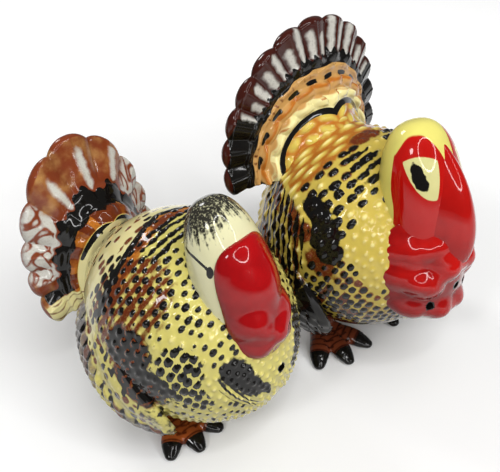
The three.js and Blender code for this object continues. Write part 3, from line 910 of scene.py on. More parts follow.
TAN = paint(206, 158, 92)
BROWN = {"tom": paint(64, 22, 14), "hen": paint(128, 58, 30)}
BROWN_WANDER = {"tom": 0.12, "hen": 0.7}
CHALK = paint(206, 204, 196)
for bird in FAN:
    layers = [
        ("tan", TAN, 0.2, 300.0, 0.12, 0.0),
        ("cream", CREAM, 0.2, 260.0, 0.14, 0.0),
        ("orange", ORANGE, 0.3, 420.0, 0.2, 0.0),
        ("rust", RUST, 0.35, 420.0, 0.16, 0.0),
        ("brown", BROWN[bird], BROWN_WANDER[bird], 180.0, 0.22, 0.0),
        ("white", CHALK, 0.55, 420.0, 0.24, 0.2),
        ("squiggle", BROWN[bird], 0.5, 360.0, 0.2, 0.0),
        ("black", INK, 0.35, 420.0, 0.07, 0.0),
    ]
    material = painted_glaze(f"{bird}_tail_glaze", YELLOW[bird], layers)
    points, faces, fields = dress_fan(bird)
    piece = make_piece(f"{bird}_tail_casting", bird, points, faces, fields, material)
    fit_piece(piece, bird, f"{bird}_tail_fan")


# Heads: each neck and head is one cast roll that rises out of the breast and leans back to the crown. The
# tom's face is brushed red around an almond eye under a yellow crown; the hen's is cream with a grey cap.

HEAD = {
    "tom": {"neck": (25, -26), "bow": (32, 16), "crown": (17, 53), "width": 15.5, "depth": 14.5},
    "hen": {"neck": (15, -17), "bow": (30, 15), "crown": (8, 52), "width": 13.5, "depth": 13},
}
HEAD_FULLNESS = 2.6
HEAD_ROWS = 150
HEAD_COLUMNS = 200


def roll_fullness(at, fullness):
    """How full a round-ended roll is along its length: 1 in the middle, 0 at both ends."""
    return np.clip(1 - np.abs(2 * at - 1) ** fullness, 0, 1) ** (1 / fullness)


def bow(ends, at):
    """A point and the way ahead on a curve bent towards its middle handle."""
    start, handle, stop = (np.array(end, dtype=float) for end in ends)
    at = np.asarray(at)[..., None]
    point = (1 - at) ** 2 * start + 2 * at * (1 - at) * handle + at ** 2 * stop
    way = 2 * (1 - at) * (handle - start) + 2 * at * (stop - handle)
    return point, way / np.linalg.norm(way, axis=-1, keepdims=True)


def head_spine(bird, at):
    """The line through the middle of the neck and head."""
    middle = BODY[bird]["middle"]
    ends = [(x, 0, middle + z) for x, z in (HEAD[bird][part] for part in ("neck", "bow", "crown"))]
    return bow(ends, at)


def head_point(bird, at, face, stand=0.0):
    """The head's surface: at runs from the neck to the crown, face is the angle from the front."""
    point, way = head_spine(bird, at)
    ahead = np.cross(LEFT, way)
    full = roll_fullness(at, HEAD_FULLNESS)
    deep = (HEAD[bird]["depth"] * full + stand) * np.cos(face)
    wide = (HEAD[bird]["width"] * full + stand) * np.sin(face)
    return point + deep[..., None] * ahead + wide[..., None] * LEFT


def side_of(point, start, stop):
    """How far a place lies to the left of the line from start to stop."""
    run = (stop[0] - start[0], stop[1] - start[1])
    gap = run[0] * (point[1] - start[1]) - run[1] * (point[0] - start[0])
    return gap / math.hypot(*run)


# Faces are laid out in degrees round from the front and in shares of the head's length. AT_STEP brings a
# share to about the size of a degree, and the tom's red starts at RED_START.
AT_STEP = 150.0
RED_START = 0.17


def flowing(value, places, heights):
    """A smooth curve through a few given places."""
    places = np.array(places, dtype=float)
    heights = np.array(heights, dtype=float)
    slopes = np.gradient(heights, places)
    value = np.clip(value, places[0], places[-1])
    left = np.clip(np.searchsorted(places, value, side="right") - 1, 0, len(places) - 2)
    span = places[left + 1] - places[left]
    u = (value - places[left]) / span
    rise = heights[left + 1] - heights[left]
    start = slopes[left] * span
    stop = slopes[left + 1] * span
    bend = 3 * rise - 2 * start - stop
    twist = start + stop - 2 * rise
    return heights[left] + start * u + bend * u ** 2 + twist * u ** 3


# Painted lines on the faces: places, and how far the line lies there
TOM_RED_TOP = ([0, 6, 9, 15, 26, 53, 75, 92], [0.80, 0.815, 0.84, 0.89, 0.935, 0.962, 0.95, 0.90])
TOM_RED_SIDE = ([0.2, 0.5, 0.6, 0.68, 0.76, 0.9], [94, 92, 90, 90, 95, 94])
TOM_EYE = {"corner": (77, 0.875 * AT_STEP), "brow": (23, 0.862 * AT_STEP), "chin": (31, 0.715 * AT_STEP)}
TOM_PUPIL = {"at": 0.812, "tall": 0.058, "around": 53, "wide": 10, "lean": 6}
RED_SOFT = 6
HEN_CAP = ([0, 6, 57, 117, 150, 180], [0.95, 0.94, 0.905, 0.88, 0.80, 0.74])
HEN_LID = ([68, 85, 112], [0.79, 0.83, 0.866])
HEN_LID_HALF = 0.0075
HEN_EYE = {"at": 0.778, "tall": 0.022, "around": 67, "wide": 6}


def tom_face(at, face):
    """The tom's face: red up to a scalloped line, an almond eye and a tall pupil."""
    f = np.degrees(np.abs(face))
    rise = at * AT_STEP
    top = flowing(f, *TOM_RED_TOP)
    side = flowing(at, *TOM_RED_SIDE)
    red = np.minimum(np.minimum((top - at) * AT_STEP, side - f), (at - RED_START) * AT_STEP)
    red = 0.5 + 0.5 * red / RED_SOFT
    place = (f, rise)
    corner, brow, chin = TOM_EYE["corner"], TOM_EYE["brow"], TOM_EYE["chin"]
    upper = side_of(place, corner, brow) + 0.004 * (corner[0] - f) * (f - brow[0])
    inner = side_of(place, brow, chin) + 0.012 * (rise - chin[1]) * (brow[1] - rise)
    outer = side_of(place, chin, corner) + 0.011 * (corner[0] - f) * (f - chin[0])
    eye = 0.5 + np.minimum(np.minimum(upper, inner), outer) / RED_SOFT
    lean = (at - TOM_PUPIL["at"]) / TOM_PUPIL["tall"]
    wide = (f - TOM_PUPIL["around"] - TOM_PUPIL["lean"] * lean) / TOM_PUPIL["wide"]
    wobble = 0.05 * np.cos(3 * np.arctan2(lean, wide) + 0.6)
    pupil = 0.5 + 0.5 * (1 - np.hypot(lean, wide) + wobble)
    return {"red": red, "eye": eye, "black": pupil, "grey": 0 * at}


def hen_face(at, face):
    """The hen's face: a ragged grey cap, a lid stroke and a dab for the eye."""
    f = np.degrees(np.abs(face))
    edge = flowing(f, *HEN_CAP)
    spikes = 0.018 * np.cos(f * 0.42) + 0.012 * np.cos(f * 0.93 + 1.0)
    grey = 0.5 + 7 * (at - edge + spikes)
    lid = flowing(f, *HEN_LID)
    stroke = 0.5 + 0.5 * (1 - np.abs(at - lid) / HEN_LID_HALF)
    stroke = stroke - 0.9 * smooth(f, 110, 115) - 0.9 * smooth(70 - f, 0, 5)
    tall = (at - HEN_EYE["at"] + 0.0012 * (f - 68)) / HEN_EYE["tall"]
    wide = (f - HEN_EYE["around"]) / HEN_EYE["wide"]
    dab = 0.5 + 0.5 * (1 - np.hypot(tall, wide))
    neck = 0.45 * spot(at * AT_STEP, f, 0.62 * AT_STEP, 69, 5, 6)
    return {"red": 0 * at, "eye": 0 * at, "black": np.maximum(np.maximum(stroke, dab), neck), "grey": grey}


FACE = {"tom": tom_face, "hen": hen_face}
CROWN = {"tom": paint(232, 222, 118), "hen": paint(230, 226, 182)}
SCARLET = paint(188, 16, 10)
EYE_CREAM = paint(224, 218, 150)
CAP_GREY = paint(48, 46, 40)
head_layers = [
    ("grey", CAP_GREY, 0.9, 620.0, 0.16, 0.5),
    ("red", SCARLET, 0.06, 240.0, 0.05, 0.0),
    ("eye", EYE_CREAM, 0.05, 300.0, 0.05, 0.0),
    ("black", INK, 0.3, 420.0, 0.03, 0.0),
]
along, around, head_faces = ball_grid(HEAD_ROWS, HEAD_COLUMNS)
at = (1 - np.cos(along)) / 2
for bird in HEAD:
    points = head_point(bird, at, around)
    fields = FACE[bird](at, around)
    fields["high"] = 0.5 + 0 * at
    material = painted_glaze(f"{bird}_head_glaze", CROWN[bird], head_layers, ripple_size=90.0)
    piece = make_piece(f"{bird}_head_casting", bird, points, head_faces, fields, material, POUR_BORES[bird])
    paint_bore_shade(piece, bird, POUR_BORES[bird])
    fit_piece(piece, bird, f"{bird}_head")


# Snood and wattles: rolls and lumps of clay pressed on to the face and breast while soft, then dipped in red
# glaze. The tom's snood hangs down its face over a lumpy wattle; the hen has one lumpy slab.

FLESH_ROWS = 150
FLESH_COLUMNS = 190
# A roll of clay: where it lies up the face and how far it stands off it there, its half width and thickness,
# how fast it wraps back, how blunt its ends are, how it thins upwards, and how strong its painted shade is
WATTLE = {
    "tom": {"ends": (0.12, 0.39, 0.68), "stand": (0, 1.8, -5), "width": 22.5, "depth": 6,
            "wrap": (0.0195, 0.036), "aside": 0, "fullness": 2.6, "thin": 0.6, "soft": 0, "deep": 1.0},
    "hen": {"ends": (0.375, 0.61, 0.85), "stand": (0, 0.6, -0.6), "width": 11.4, "depth": 4.8,
            "wrap": (0.036, 0.036), "aside": -1.0, "fullness": 3.4, "thin": 0, "soft": 0, "deep": 0.95},
}
# Lumps on a wattle: how far up it, how far to both sides, radius, and height
WATTLE_LUMPS = {
    "tom": [
        (0.70, 15.5, 4.8, 2.0), (0.71, 7.5, 4.6, 2.2), (0.55, 4.6, 4.8, 3.6), (0.50, 18.0, 5.2, 2.8),
        (0.42, 11.8, 4.8, 3.0), (0.15, 4.6, 4.8, 3.4), (0.17, 14.5, 5.0, 2.8),
    ],
    "hen": [(0.62, 4.0, 6.0, 0.8), (0.36, 7.0, 4.6, 2.4), (0.24, 2.0, 4.2, 1.6), (0.12, 7.5, 4.4, 2.2)],
}
SNOOD = {"ends": (0.40, 0.69, 0.93), "stand": (0.5, 6.6, -1.2), "width": 14.0, "depth": 6.8,
         "wrap": (0.058, 0.058), "aside": 0, "fullness": 2.6, "thin": 0, "soft": 2, "deep": 0.66}
SNOOD_TAPER = 0.8
LUMP_FOOT = 1.4
LUMP_ROUND = 1.6


def face_front(bird, at, stand):
    """A place on the middle line of the face, standing off it."""
    return head_point(bird, np.array(at), np.array(0.0), np.array(stand))


def clay_roll(bird, form, taper=0.0, lumps=()):
    """A round-ended roll of clay up the face, wrapped back to both sides, with lumps pressed out of it."""
    along, around, faces = ball_grid(FLESH_ROWS, FLESH_COLUMNS)
    up = (1 - np.cos(along)) / 2
    line = [face_front(bird, at, stand) for at, stand in zip(form["ends"], form["stand"])]
    point, way = bow(line, up)
    full = roll_fullness(up, form["fullness"]) * (1 - taper * up)
    across = form["width"] * full * np.sin(around)
    front = np.cos(around)
    wrap = np.interp(up, (0, 1), form["wrap"])
    thick = form["depth"] * (1 - form["thin"] * up ** 2) * full
    stand = thick * front * np.abs(front) ** form["soft"] - wrap * across ** 2
    length = np.linalg.norm(line[2] - line[0])
    swell = 0 * up
    for rise, aside, radius, height in lumps:
        for side in (-1, 1):
            gap = ((up - rise) * length) ** 2 + (across - side * aside) ** 2
            swell = swell + height * np.clip(1 - gap / (LUMP_FOOT * radius) ** 2, 0, 1) ** LUMP_ROUND
    swell = swell * np.sqrt(np.clip(front, 0, 1)) * np.clip(2 * full, 0, 1)
    lean = 2 * wrap * across
    spread = np.hypot(1, lean)
    ahead = np.cross(LEFT, way)
    to_left = form["aside"] + across + swell * lean / spread
    to_front = stand + swell / spread
    points = point + to_left[..., None] * LEFT + to_front[..., None] * ahead
    # Painted shade (deep): the red darkens towards the bottom, at the sides and between the lumps
    fields = {
        "deep": form["deep"] - 0.5 * up - 0.1 * swell - 0.3 * front,
        "high": 0.4 + 0.1 * swell,
        "black": 0 * up,
    }
    return points, faces, fields


FLESH_RED = {"tom": SCARLET, "hen": paint(178, 8, 14)}
# A darker red, painted on the wattles and snood as shade
SCARLET_SHADE = paint(118, 4, 10)
for bird in HEAD:
    # The red glaze: painted shade from the deep field, and black painted into the pour holes as shade
    red_glaze = painted_glaze(
        f"{bird}_red_glaze", FLESH_RED[bird],
        [("deep", SCARLET_SHADE, 0.5, 260.0, 0.5, 0.0), ("black", INK, 0.2, 400.0, 0.2, 0.0)],
        ripple_size=90.0, ripple_depth=0.06,
    )
    points, faces, fields = clay_roll(bird, WATTLE[bird], lumps=WATTLE_LUMPS[bird])
    piece = make_piece(f"{bird}_wattle_casting", bird, points, faces, fields, red_glaze, POUR_BORES[bird])
    paint_bore_shade(piece, bird, POUR_BORES[bird])
    fit_piece(piece, bird, f"{bird}_wattle")
    if bird == "tom":
        points, faces, fields = clay_roll(bird, SNOOD, taper=SNOOD_TAPER)
        piece = make_piece("tom_snood_roll", bird, points, faces, fields, red_glaze)
        fit_piece(piece, bird, "tom_snood")


# Wings: thin cast skirts of feathers laid along the flanks, drooping past the belly to a scalloped edge. The
# flank's paint runs on over them, with the long wing quills brushed in black over brown and yellow.

WING = {
    "tom": {"behind": 16, "middle": 35.1, "length": 35, "height": 21, "droop": math.radians(-36), "drop": 9,
            "bulge": 1.6, "inside": 25.0, "lobes": 14, "lobe_depth": 1.6},
    "hen": {"behind": 13, "middle": 32.06, "length": 33, "height": 19, "droop": math.radians(-34), "drop": 8,
            "bulge": 1.6, "inside": 22.2, "lobes": 14, "lobe_depth": 1.6},
}
WING_RINGS = 70
WING_SPOKES = 260
WING_EDGE = 1.3
WING_LEAST = 1.5
WING_WALL = 2.6
WING_TRIALS = 160
WING_HUB = 0.05
WING_EVEN = 8
WING_FLARE = {"tom": 0.8, "hen": 2.0}
WING_RIM = 0.8
WING_RIM_WIDTH = 6.0
QUILL_PITCH = 4.2
QUILL_HEIGHT = 0.3
BEAD_PITCH = 5.6
BEAD_HEIGHT = 0.9
WING_TOP = 100
WING_PALE = {"tom": 0.55, "hen": 0.9}
WING_FRONT = {"tom": 1.0, "hen": 0.46}


def wing_surface(bird, x, z):
    """How far out the flank of the dropped, slightly swollen egg lies at a place seen from the side."""
    size = BODY[bird]
    wing = WING[bird]
    tilt = size["pitch"]
    up = z - size["middle"] + wing["drop"]
    ahead = (x * math.cos(tilt) - up * math.sin(tilt)) / (size["length"] + wing["bulge"])
    widen = 1 - BODY_TAPER * np.clip(ahead, -1, 1)
    above = (x * math.sin(tilt) + up * math.cos(tilt)) / ((size["height"] + wing["bulge"]) * widen)
    rest = np.clip(1 - ahead ** 2 - above ** 2, 0, 1)
    return (size["width"] + wing["bulge"]) * widen * np.sqrt(rest)


def wing_outline(bird, angle, out):
    """A place on the wing, by its turn round the wing's middle and its share of the way to the edge."""
    wing = WING[bird]
    below = np.maximum(0, -np.sin(angle))
    wave = np.abs(np.sin(angle * wing["lobes"]))
    shrink = wing["lobe_depth"] * below * (1 - wave)
    along = (wing["length"] - shrink) * np.cos(angle) * out
    across = (wing["height"] - shrink) * np.sin(angle) * out
    tilt = wing["droop"]
    x = along * math.cos(tilt) - across * math.sin(tilt) - wing["behind"]
    z = along * math.sin(tilt) + across * math.cos(tilt) + wing["middle"]
    return x, z, along, across


def dress_wing(bird, hand):
    """The wing as a closed skirt over the flank, out to where it leaves the body, and the paint on it."""
    wing = WING[bird]
    spoke = np.arange(WING_SPOKES) * 2 * math.pi / WING_SPOKES
    least = wing["inside"] + WING_LEAST
    tried = np.linspace(WING_HUB, 1, WING_TRIALS)[:, None] + 0 * spoke[None, :]
    x, z, along, across = wing_outline(bird, spoke[None, :] + 0 * tried, tried)
    lies = np.cumprod(wing_surface(bird, x, z) >= least, axis=0)
    limit = np.maximum(lies * tried, WING_HUB).max(axis=0)
    shifted = [np.roll(limit, turn) for turn in range(-WING_EVEN, WING_EVEN + 1)]
    limit = np.minimum(np.mean(shifted, axis=0), limit + 0.02)
    ring = np.linspace(0, 1, WING_RINGS + 1)[1:]
    angle = spoke[None, :] + 0 * ring[:, None]
    out = ring[:, None] + 0 * spoke[None, :]
    x, z, along, across = wing_outline(bird, angle, out * limit)
    surface_y = np.maximum(wing_surface(bird, x, z), least)
    along_t, around_f, _ = body_place(bird, np.stack([x, hand * surface_y, z], axis=-1))
    t = np.degrees(along_t)
    f = np.degrees(np.abs(around_f))
    below_rim = f - wing_rim(t)
    beyond = below_rim if bird == "hen" else f - WING_TOP
    primaries = smooth(beyond, 7, 11)
    bead = t / BEAD_PITCH + 0.04 * f
    beads = np.abs(np.sin(math.pi * bead))
    bar = np.cos(2 * math.pi * (across + 0.25 * along) / QUILL_PITCH)
    lip = WING_EDGE * smooth(out, 0.93, 1.0) ** 2
    rim = np.exp(-(below_rim / WING_RIM_WIDTH) ** 2) * smooth(t, 62, 76) if bird == "hen" else 0 * f
    flare = WING_FLARE[bird] * smooth(below_rim, 3, 16) * smooth(t, 58, 84)
    raised = BEAD_HEIGHT * primaries * (beads - 0.4)
    y = surface_y + flare + raised + QUILL_HEIGHT * primaries * bar + WING_RIM * rim - lip
    outer = np.stack([x, hand * y, z], axis=-1)
    inner = np.stack([x, hand * np.maximum(y - WING_WALL + lip, wing["inside"]), z], axis=-1)
    fields, _, _ = PLUMAGE[bird](t, np.degrees(around_f))
    bead = np.floor(bead)
    quill_black = 0.74 - 0.62 * beads + 0.5 * (chance(bead, 0 * bead, 51) - 0.5)
    quill_rust = 0.35 + 0.5 * chance(bead, 1 + 0 * bead, 52)
    fields["black"] = fields["black"] * (1 - primaries) + primaries * quill_black
    fields["rust"] = fields["rust"] * (1 - primaries) + primaries * quill_rust
    fields["grey"] = WING_PALE[bird] * primaries * (0.2 + 0.7 * chance(bead, 2 + 0 * bead, 53))
    front_end = 1 - smooth(t, 70, 90)
    fields["black"] = np.maximum(fields["black"], front_end * WING_FRONT[bird])
    fields["high"] = 0.35 + 0.3 * primaries * beads + 0.2 * rim
    count = WING_RINGS * WING_SPOKES
    hub_x = -wing["behind"]
    hub_y = max(float(wing_surface(bird, np.array(hub_x), np.array(wing["middle"]))), least)
    points = np.concatenate([
        outer.reshape(-1, 3), [(hub_x, hand * hub_y, wing["middle"])],
        inner.reshape(-1, 3), [(hub_x, hand * (hub_y - WING_WALL), wing["middle"])],
    ])
    index = np.arange(count).reshape(WING_RINGS, WING_SPOKES)
    beside = np.roll(index, -1, axis=1)
    quads = np.stack([index[:-1], beside[:-1], beside[1:], index[1:]], axis=-1).reshape(-1, 4)
    skirt = np.stack([index[-1], beside[-1], beside[-1] + count + 1, index[-1] + count + 1], axis=-1)
    faces = quads.tolist() + (quads[:, ::-1] + count + 1).tolist() + skirt.tolist()
    faces += [(count, b, a) for a, b in zip(index[0], beside[0])]
    faces += [(2 * count + 1, a + count + 1, b + count + 1) for a, b in zip(index[0], beside[0])]
    for field in fields:
        flat = fields[field].ravel()
        fields[field] = np.concatenate([flat, flat[:1], flat, flat[:1]])
    return points, faces, fields


WING_GREY = paint(128, 124, 122)
wing_layers = plumage_layers[:-1] + [("grey", WING_GREY, 0.4, 500.0, 0.2, 0.0), plumage_layers[-1]]
for bird in WING:
    material = painted_glaze(f"{bird}_wing_glaze", YELLOW[bird], wing_layers)
    for hand, word in ((1, "left"), (-1, "right")):
        points, faces, fields = dress_wing(bird, hand)
        piece = make_piece(f"{bird}_{word}_wing_casting", bird, points, faces, fields, material)
        fit_piece(piece, bird, f"{bird}_{word}_wing")


# Feet: short shanks and broad hand-modelled toes of clay, scored across with scales and flat underneath,
# luted under the belly. They are brushed red-brown with black claws.

FOOT = {
    "tom": {"ahead": -1, "across": 16, "shank": 12, "toe": 23, "hind": 15, "width": 9.0, "height": 7.0},
    "hen": {"ahead": 1, "across": 14, "shank": 10.4, "toe": 19.5, "hind": 14, "width": 8.6, "height": 6.6},
}
TOE_TURNS = (-34, 0, 34)
TOE_TURN_OUT = 14
TOE_BEADS = 18
TOE_OVERLAP = 0.1
CLAW_START = 0.72
SHANK_BEADS = 7
SHANK_RISE = 16
SHANK_BEAD_HEIGHT = 4.0
SCALE_PITCH = 2.7
CLAY_GRAIN = 0.45
CLAY_MELTING = 3


# Lumps of soft clay that have run together: balls on given points, each turned and sized, are melted into
# one skin. The tree works in millimetres, and the skin is brought to the table afterwards.
melt = bpy.data.node_groups.new("melted_clay", "GeometryNodeTree")
melt.interface.new_socket("Geometry", in_out="INPUT", socket_type="NodeSocketGeometry")
grain_socket = melt.interface.new_socket("Grain", in_out="INPUT", socket_type="NodeSocketFloat")
melt_socket = melt.interface.new_socket("Melting", in_out="INPUT", socket_type="NodeSocketInt")
glaze_socket = melt.interface.new_socket("Glaze", in_out="INPUT", socket_type="NodeSocketMaterial")
melt.interface.new_socket("Geometry", in_out="OUTPUT", socket_type="NodeSocketGeometry")
nodes, links = melt.nodes, melt.links
given = nodes.new("NodeGroupInput").outputs
put = nodes.new("NodeGroupOutput").inputs
ball = nodes.new("GeometryNodeMeshIcoSphere")
ball.inputs["Radius"].default_value = 1.0
ball.inputs["Subdivisions"].default_value = 4
placed = nodes.new("GeometryNodeInstanceOnPoints")
links.new(given["Geometry"], placed.inputs["Points"])
links.new(ball.outputs["Mesh"], placed.inputs["Instance"])
for label, socket in (("turn", "Rotation"), ("size", "Scale")):
    read = nodes.new("GeometryNodeInputNamedAttribute")
    read.data_type = "FLOAT_VECTOR"
    read.inputs["Name"].default_value = label
    links.new(read.outputs["Attribute"], placed.inputs[socket])
whole = nodes.new("GeometryNodeRealizeInstances")
links.new(placed.outputs["Instances"], whole.inputs["Geometry"])
volume = nodes.new("GeometryNodeMeshToVolume")
volume.resolution_mode = "VOXEL_SIZE"
links.new(whole.outputs["Geometry"], volume.inputs["Mesh"])
links.new(given["Grain"], volume.inputs["Voxel Size"])
volume.inputs["Interior Band Width"].default_value = 3.0
skin = nodes.new("GeometryNodeVolumeToMesh")
skin.resolution_mode = "VOXEL_SIZE"
links.new(volume.outputs["Volume"], skin.inputs["Volume"])
links.new(given["Grain"], skin.inputs["Voxel Size"])
skin.inputs["Threshold"].default_value = 0.1
where = nodes.new("GeometryNodeInputPosition")
blur = nodes.new("GeometryNodeBlurAttribute")
blur.data_type = "FLOAT_VECTOR"
links.new(given["Melting"], blur.inputs["Iterations"])
links.new(where.outputs["Position"], [s for s in blur.inputs if s.enabled and s.type == "VECTOR"][0])
settled = nodes.new("GeometryNodeSetPosition")
links.new(skin.outputs["Mesh"], settled.inputs["Geometry"])
links.new([s for s in blur.outputs if s.enabled][0], settled.inputs["Position"])
soft = nodes.new("GeometryNodeSetShadeSmooth")
links.new(settled.outputs["Geometry"], soft.inputs["Geometry"])
dipped = nodes.new("GeometryNodeSetMaterial")
links.new(soft.outputs["Geometry"], dipped.inputs["Geometry"])
links.new(given["Glaze"], dipped.inputs["Material"])
links.new(dipped.outputs["Geometry"], put["Geometry"])


def toe_ways(bird, hand):
    """The turn and length of the three front toes and the hind toe."""
    foot = FOOT[bird]
    ways = [(math.radians(hand * TOE_TURN_OUT + turn), foot["toe"]) for turn in TOE_TURNS]
    return ways + [(math.pi, foot["hind"])]


def foot_balls(bird, hand):
    """The balls that a foot is melted from: each one's middle, its size along its own axes, and its turn."""
    foot = FOOT[bird]
    balls = []
    for turn, length in toe_ways(bird, hand):
        for bead in range(TOE_BEADS):
            share = bead / (TOE_BEADS - 1)
            out = length * (0.02 + 0.9 * share)
            swell = math.sqrt(1 - (max(0, share - 0.7) / 0.42) ** 2)
            swell = (1 - 0.1 * share) * swell * (1 + 0.05 * math.cos(share * 9))
            tall = foot["height"] * (0.62 - 0.2 * share) * swell
            place = (
                foot["ahead"] + out * math.cos(turn),
                hand * foot["across"] + out * math.sin(turn),
                tall * 0.72,
            )
            balls.append((place, (length * TOE_OVERLAP, foot["width"] / 2 * swell, tall), (0, 0, turn)))
    for bead in range(SHANK_BEADS):
        share = bead / (SHANK_BEADS - 1)
        wide = foot["shank"] / 2 * (0.92 + 0.2 * share)
        rise = foot["height"] * 0.5 + share * SHANK_RISE
        place = (foot["ahead"] - share, hand * foot["across"], rise)
        balls.append((place, (wide, wide, SHANK_BEAD_HEIGHT), (0, 0, 0)))
    return balls


def foot_fields(bird, hand, points):
    """Black claws, and brown lines scored across the toes and round the shank."""
    foot = FOOT[bird]
    black = np.zeros(len(points))
    scale = np.zeros(len(points))
    for turn, length in toe_ways(bird, hand):
        x = points[:, 0] - foot["ahead"]
        y = points[:, 1] - hand * foot["across"]
        out = x * math.cos(turn) + y * math.sin(turn)
        off = np.abs(y * math.cos(turn) - x * math.sin(turn))
        on_toe = (off < foot["width"] * 0.62) & (out > 0)
        claw = 0.5 + (out - CLAW_START * length) / 3
        black = np.where(on_toe, np.maximum(black, claw), black)
        line = 0.5 + 0.5 * np.cos(2 * math.pi * out / SCALE_PITCH)
        scale = np.where(on_toe & (out > 0.25 * length), np.maximum(scale, line ** 2 * 0.72), scale)
    shank = smooth(points[:, 2], foot["height"], foot["height"] * 1.4)
    ring = (0.5 + 0.5 * np.cos(2 * math.pi * points[:, 2] / SCALE_PITCH)) ** 2 * 0.7
    scale = np.maximum(scale * (1 - shank), ring * shank)
    return {"black": black, "scale": scale, "high": 0.6 - 0.4 * scale}


def melted_foot(name, bird, hand, material):
    """Melts the balls of a foot into one skin, presses it flat on the table and paints fields on it."""
    balls = foot_balls(bird, hand)
    seeds = bpy.data.meshes.new(name)
    seeds.from_pydata([ball[0] for ball in balls], [], [])
    for label, column in (("size", 1), ("turn", 2)):
        layer = seeds.attributes.new(label, "FLOAT_VECTOR", "POINT")
        values = np.array([ball[column] for ball in balls], dtype=np.float32)
        layer.data.foreach_set("vector", values.ravel())
    piece = bpy.data.objects.new(name, seeds)
    bpy.context.scene.collection.objects.link(piece)
    modifier = piece.modifiers.new("melt", "NODES")
    modifier.node_group = melt
    modifier[grain_socket.identifier] = CLAY_GRAIN
    modifier[melt_socket.identifier] = CLAY_MELTING
    modifier[glaze_socket.identifier] = material
    settle(piece)
    mesh = piece.data
    points = mesh_points(mesh).astype(float)
    points[:, 2] = np.maximum(points[:, 2], 0)
    mesh.vertices.foreach_set("co", to_table(bird, points).astype(np.float32).ravel())
    write_fields(mesh, foot_fields(bird, hand, points))
    mesh.update()
    return piece


FOOT_BROWN = {"tom": paint(112, 54, 32), "hen": paint(156, 78, 34)}
SCALE_BROWN = {"tom": paint(52, 20, 12), "hen": paint(84, 34, 14)}
for bird in FOOT:
    material = painted_glaze(
        f"{bird}_foot_glaze", FOOT_BROWN[bird],
        [("scale", SCALE_BROWN[bird], 0.3, 500.0, 0.25, 0.0), ("black", INK, 0.1, 400.0, 0.06, 0.0)],
    )
    for hand, word in ((1, "left"), (-1, "right")):
        piece = melted_foot(f"{bird}_{word}_foot_casting", bird, hand, material)
        fit_piece(piece, bird, f"{bird}_{word}_foot")


# Stoppers: soft off-white plastic plugs, each a hollow tapered plug with a thin flange, moulded in one and
# pushed into the fill hole under the belly. The flange's edge is rounded, and the bore is open below.

PLUG_RADIUS = 6.0
PLUG_WALL = 1.6
PLUG_DRAFT = 0.5
PLUG_LENGTH = 6.4
FLANGE_RADIUS = 8.0
FLANGE_THICK = 1.4
STOPPER_SIDES = 72
EDGE_STEPS = 6
EDGE_ROUND = 0.5
PLASTIC_PALE = paint(214, 208, 192)
PLASTIC_DULL = paint(196, 188, 168)


def rounded_profile(corners, radius):
    """A half outline with each inner corner rounded."""
    outline = [corners[0]]
    for before, corner, after in zip(corners, corners[1:], corners[2:]):
        before, corner, after = Vector(before), Vector(corner), Vector(after)
        trim = min(radius, (before - corner).length / 2, (after - corner).length / 2)
        start = corner + trim * (before - corner).normalized()
        stop = corner + trim * (after - corner).normalized()
        for step in range(EDGE_STEPS + 1):
            share = step / EDGE_STEPS
            outline.append(tuple(start.lerp(corner, share).lerp(corner.lerp(stop, share), share)))
    return outline + [corners[-1]]


plastic = bpy.data.materials.new("stopper_plastic")
plastic.use_nodes = True
nodes, links = plastic.node_tree.nodes, plastic.node_tree.links
surface = nodes["Principled BSDF"]
haze = add_noise(nodes, links, 240.0, 3.0)
links.new(add_mix(nodes, links, haze, PLASTIC_PALE, PLASTIC_DULL), surface.inputs["Base Color"])
grain = nodes.new("ShaderNodeBump")
grain.inputs["Strength"].default_value = 0.15
grain.inputs["Distance"].default_value = 0.1 * MM
links.new(add_noise(nodes, links, 3000.0, 2.0), grain.inputs["Height"])
links.new(grain.outputs["Normal"], surface.inputs["Normal"])
surface.inputs["Roughness"].default_value = 0.5
for bird in BODY:
    seat = SEAT_HEIGHT[bird]
    under = seat - FLANGE_THICK
    top = seat + PLUG_LENGTH
    bore = PLUG_RADIUS - PLUG_WALL
    outline = rounded_profile([
        (0, top - PLUG_WALL), (bore - PLUG_DRAFT, top - PLUG_WALL), (bore, under), (FLANGE_RADIUS, under),
        (FLANGE_RADIUS, seat), (PLUG_RADIUS, seat), (PLUG_RADIUS - PLUG_DRAFT, top), (0, top),
    ], EDGE_ROUND)
    turn = np.arange(STOPPER_SIDES) * 2 * math.pi / STOPPER_SIDES
    rings = np.array(outline[1:-1])
    points = np.stack([
        rings[:, :1] * np.cos(turn), rings[:, :1] * np.sin(turn), rings[:, 1:] + 0 * turn,
    ], axis=-1).reshape(-1, 3)
    points = np.concatenate([points, [(0, 0, outline[0][1]), (0, 0, outline[-1][1])]])
    index = np.arange(len(rings) * STOPPER_SIDES).reshape(len(rings), STOPPER_SIDES)
    beside = np.roll(index, -1, axis=1)
    quads = np.stack([index[:-1], beside[:-1], beside[1:], index[1:]], axis=-1)
    faces = quads.reshape(-1, 4).tolist()
    faces += [(len(points) - 2, b, a) for a, b in zip(index[0], beside[0])]
    faces += [(len(points) - 1, a, b) for a, b in zip(index[-1], beside[-1])]
    piece = make_piece(f"{bird}_stopper_plug", bird, points, faces, {}, plastic)
    fit_piece(piece, f"{bird}_stopper", f"{bird}_stopper")


# The studio: a pale floor that runs out of sight, a large ring lamp that the glaze mirrors, three soft
# lamps, and the camera where the photograph was taken from, above and to the tom's right.

CAMERA_TURN = math.radians(-43)
CAMERA_RISE = math.radians(38)
CAMERA_DISTANCE = 0.26
CAMERA_AIM = (-0.02906, 0.0296, 0.04)
LENS = 47.17
SENSOR_WIDTH = 36
NEAREST_SEEN = 0.01


def aim(turn, rise):
    """The way from the table to a lamp or the camera."""
    return Vector((math.sin(turn) * math.cos(rise), -math.cos(turn) * math.cos(rise), math.sin(rise)))


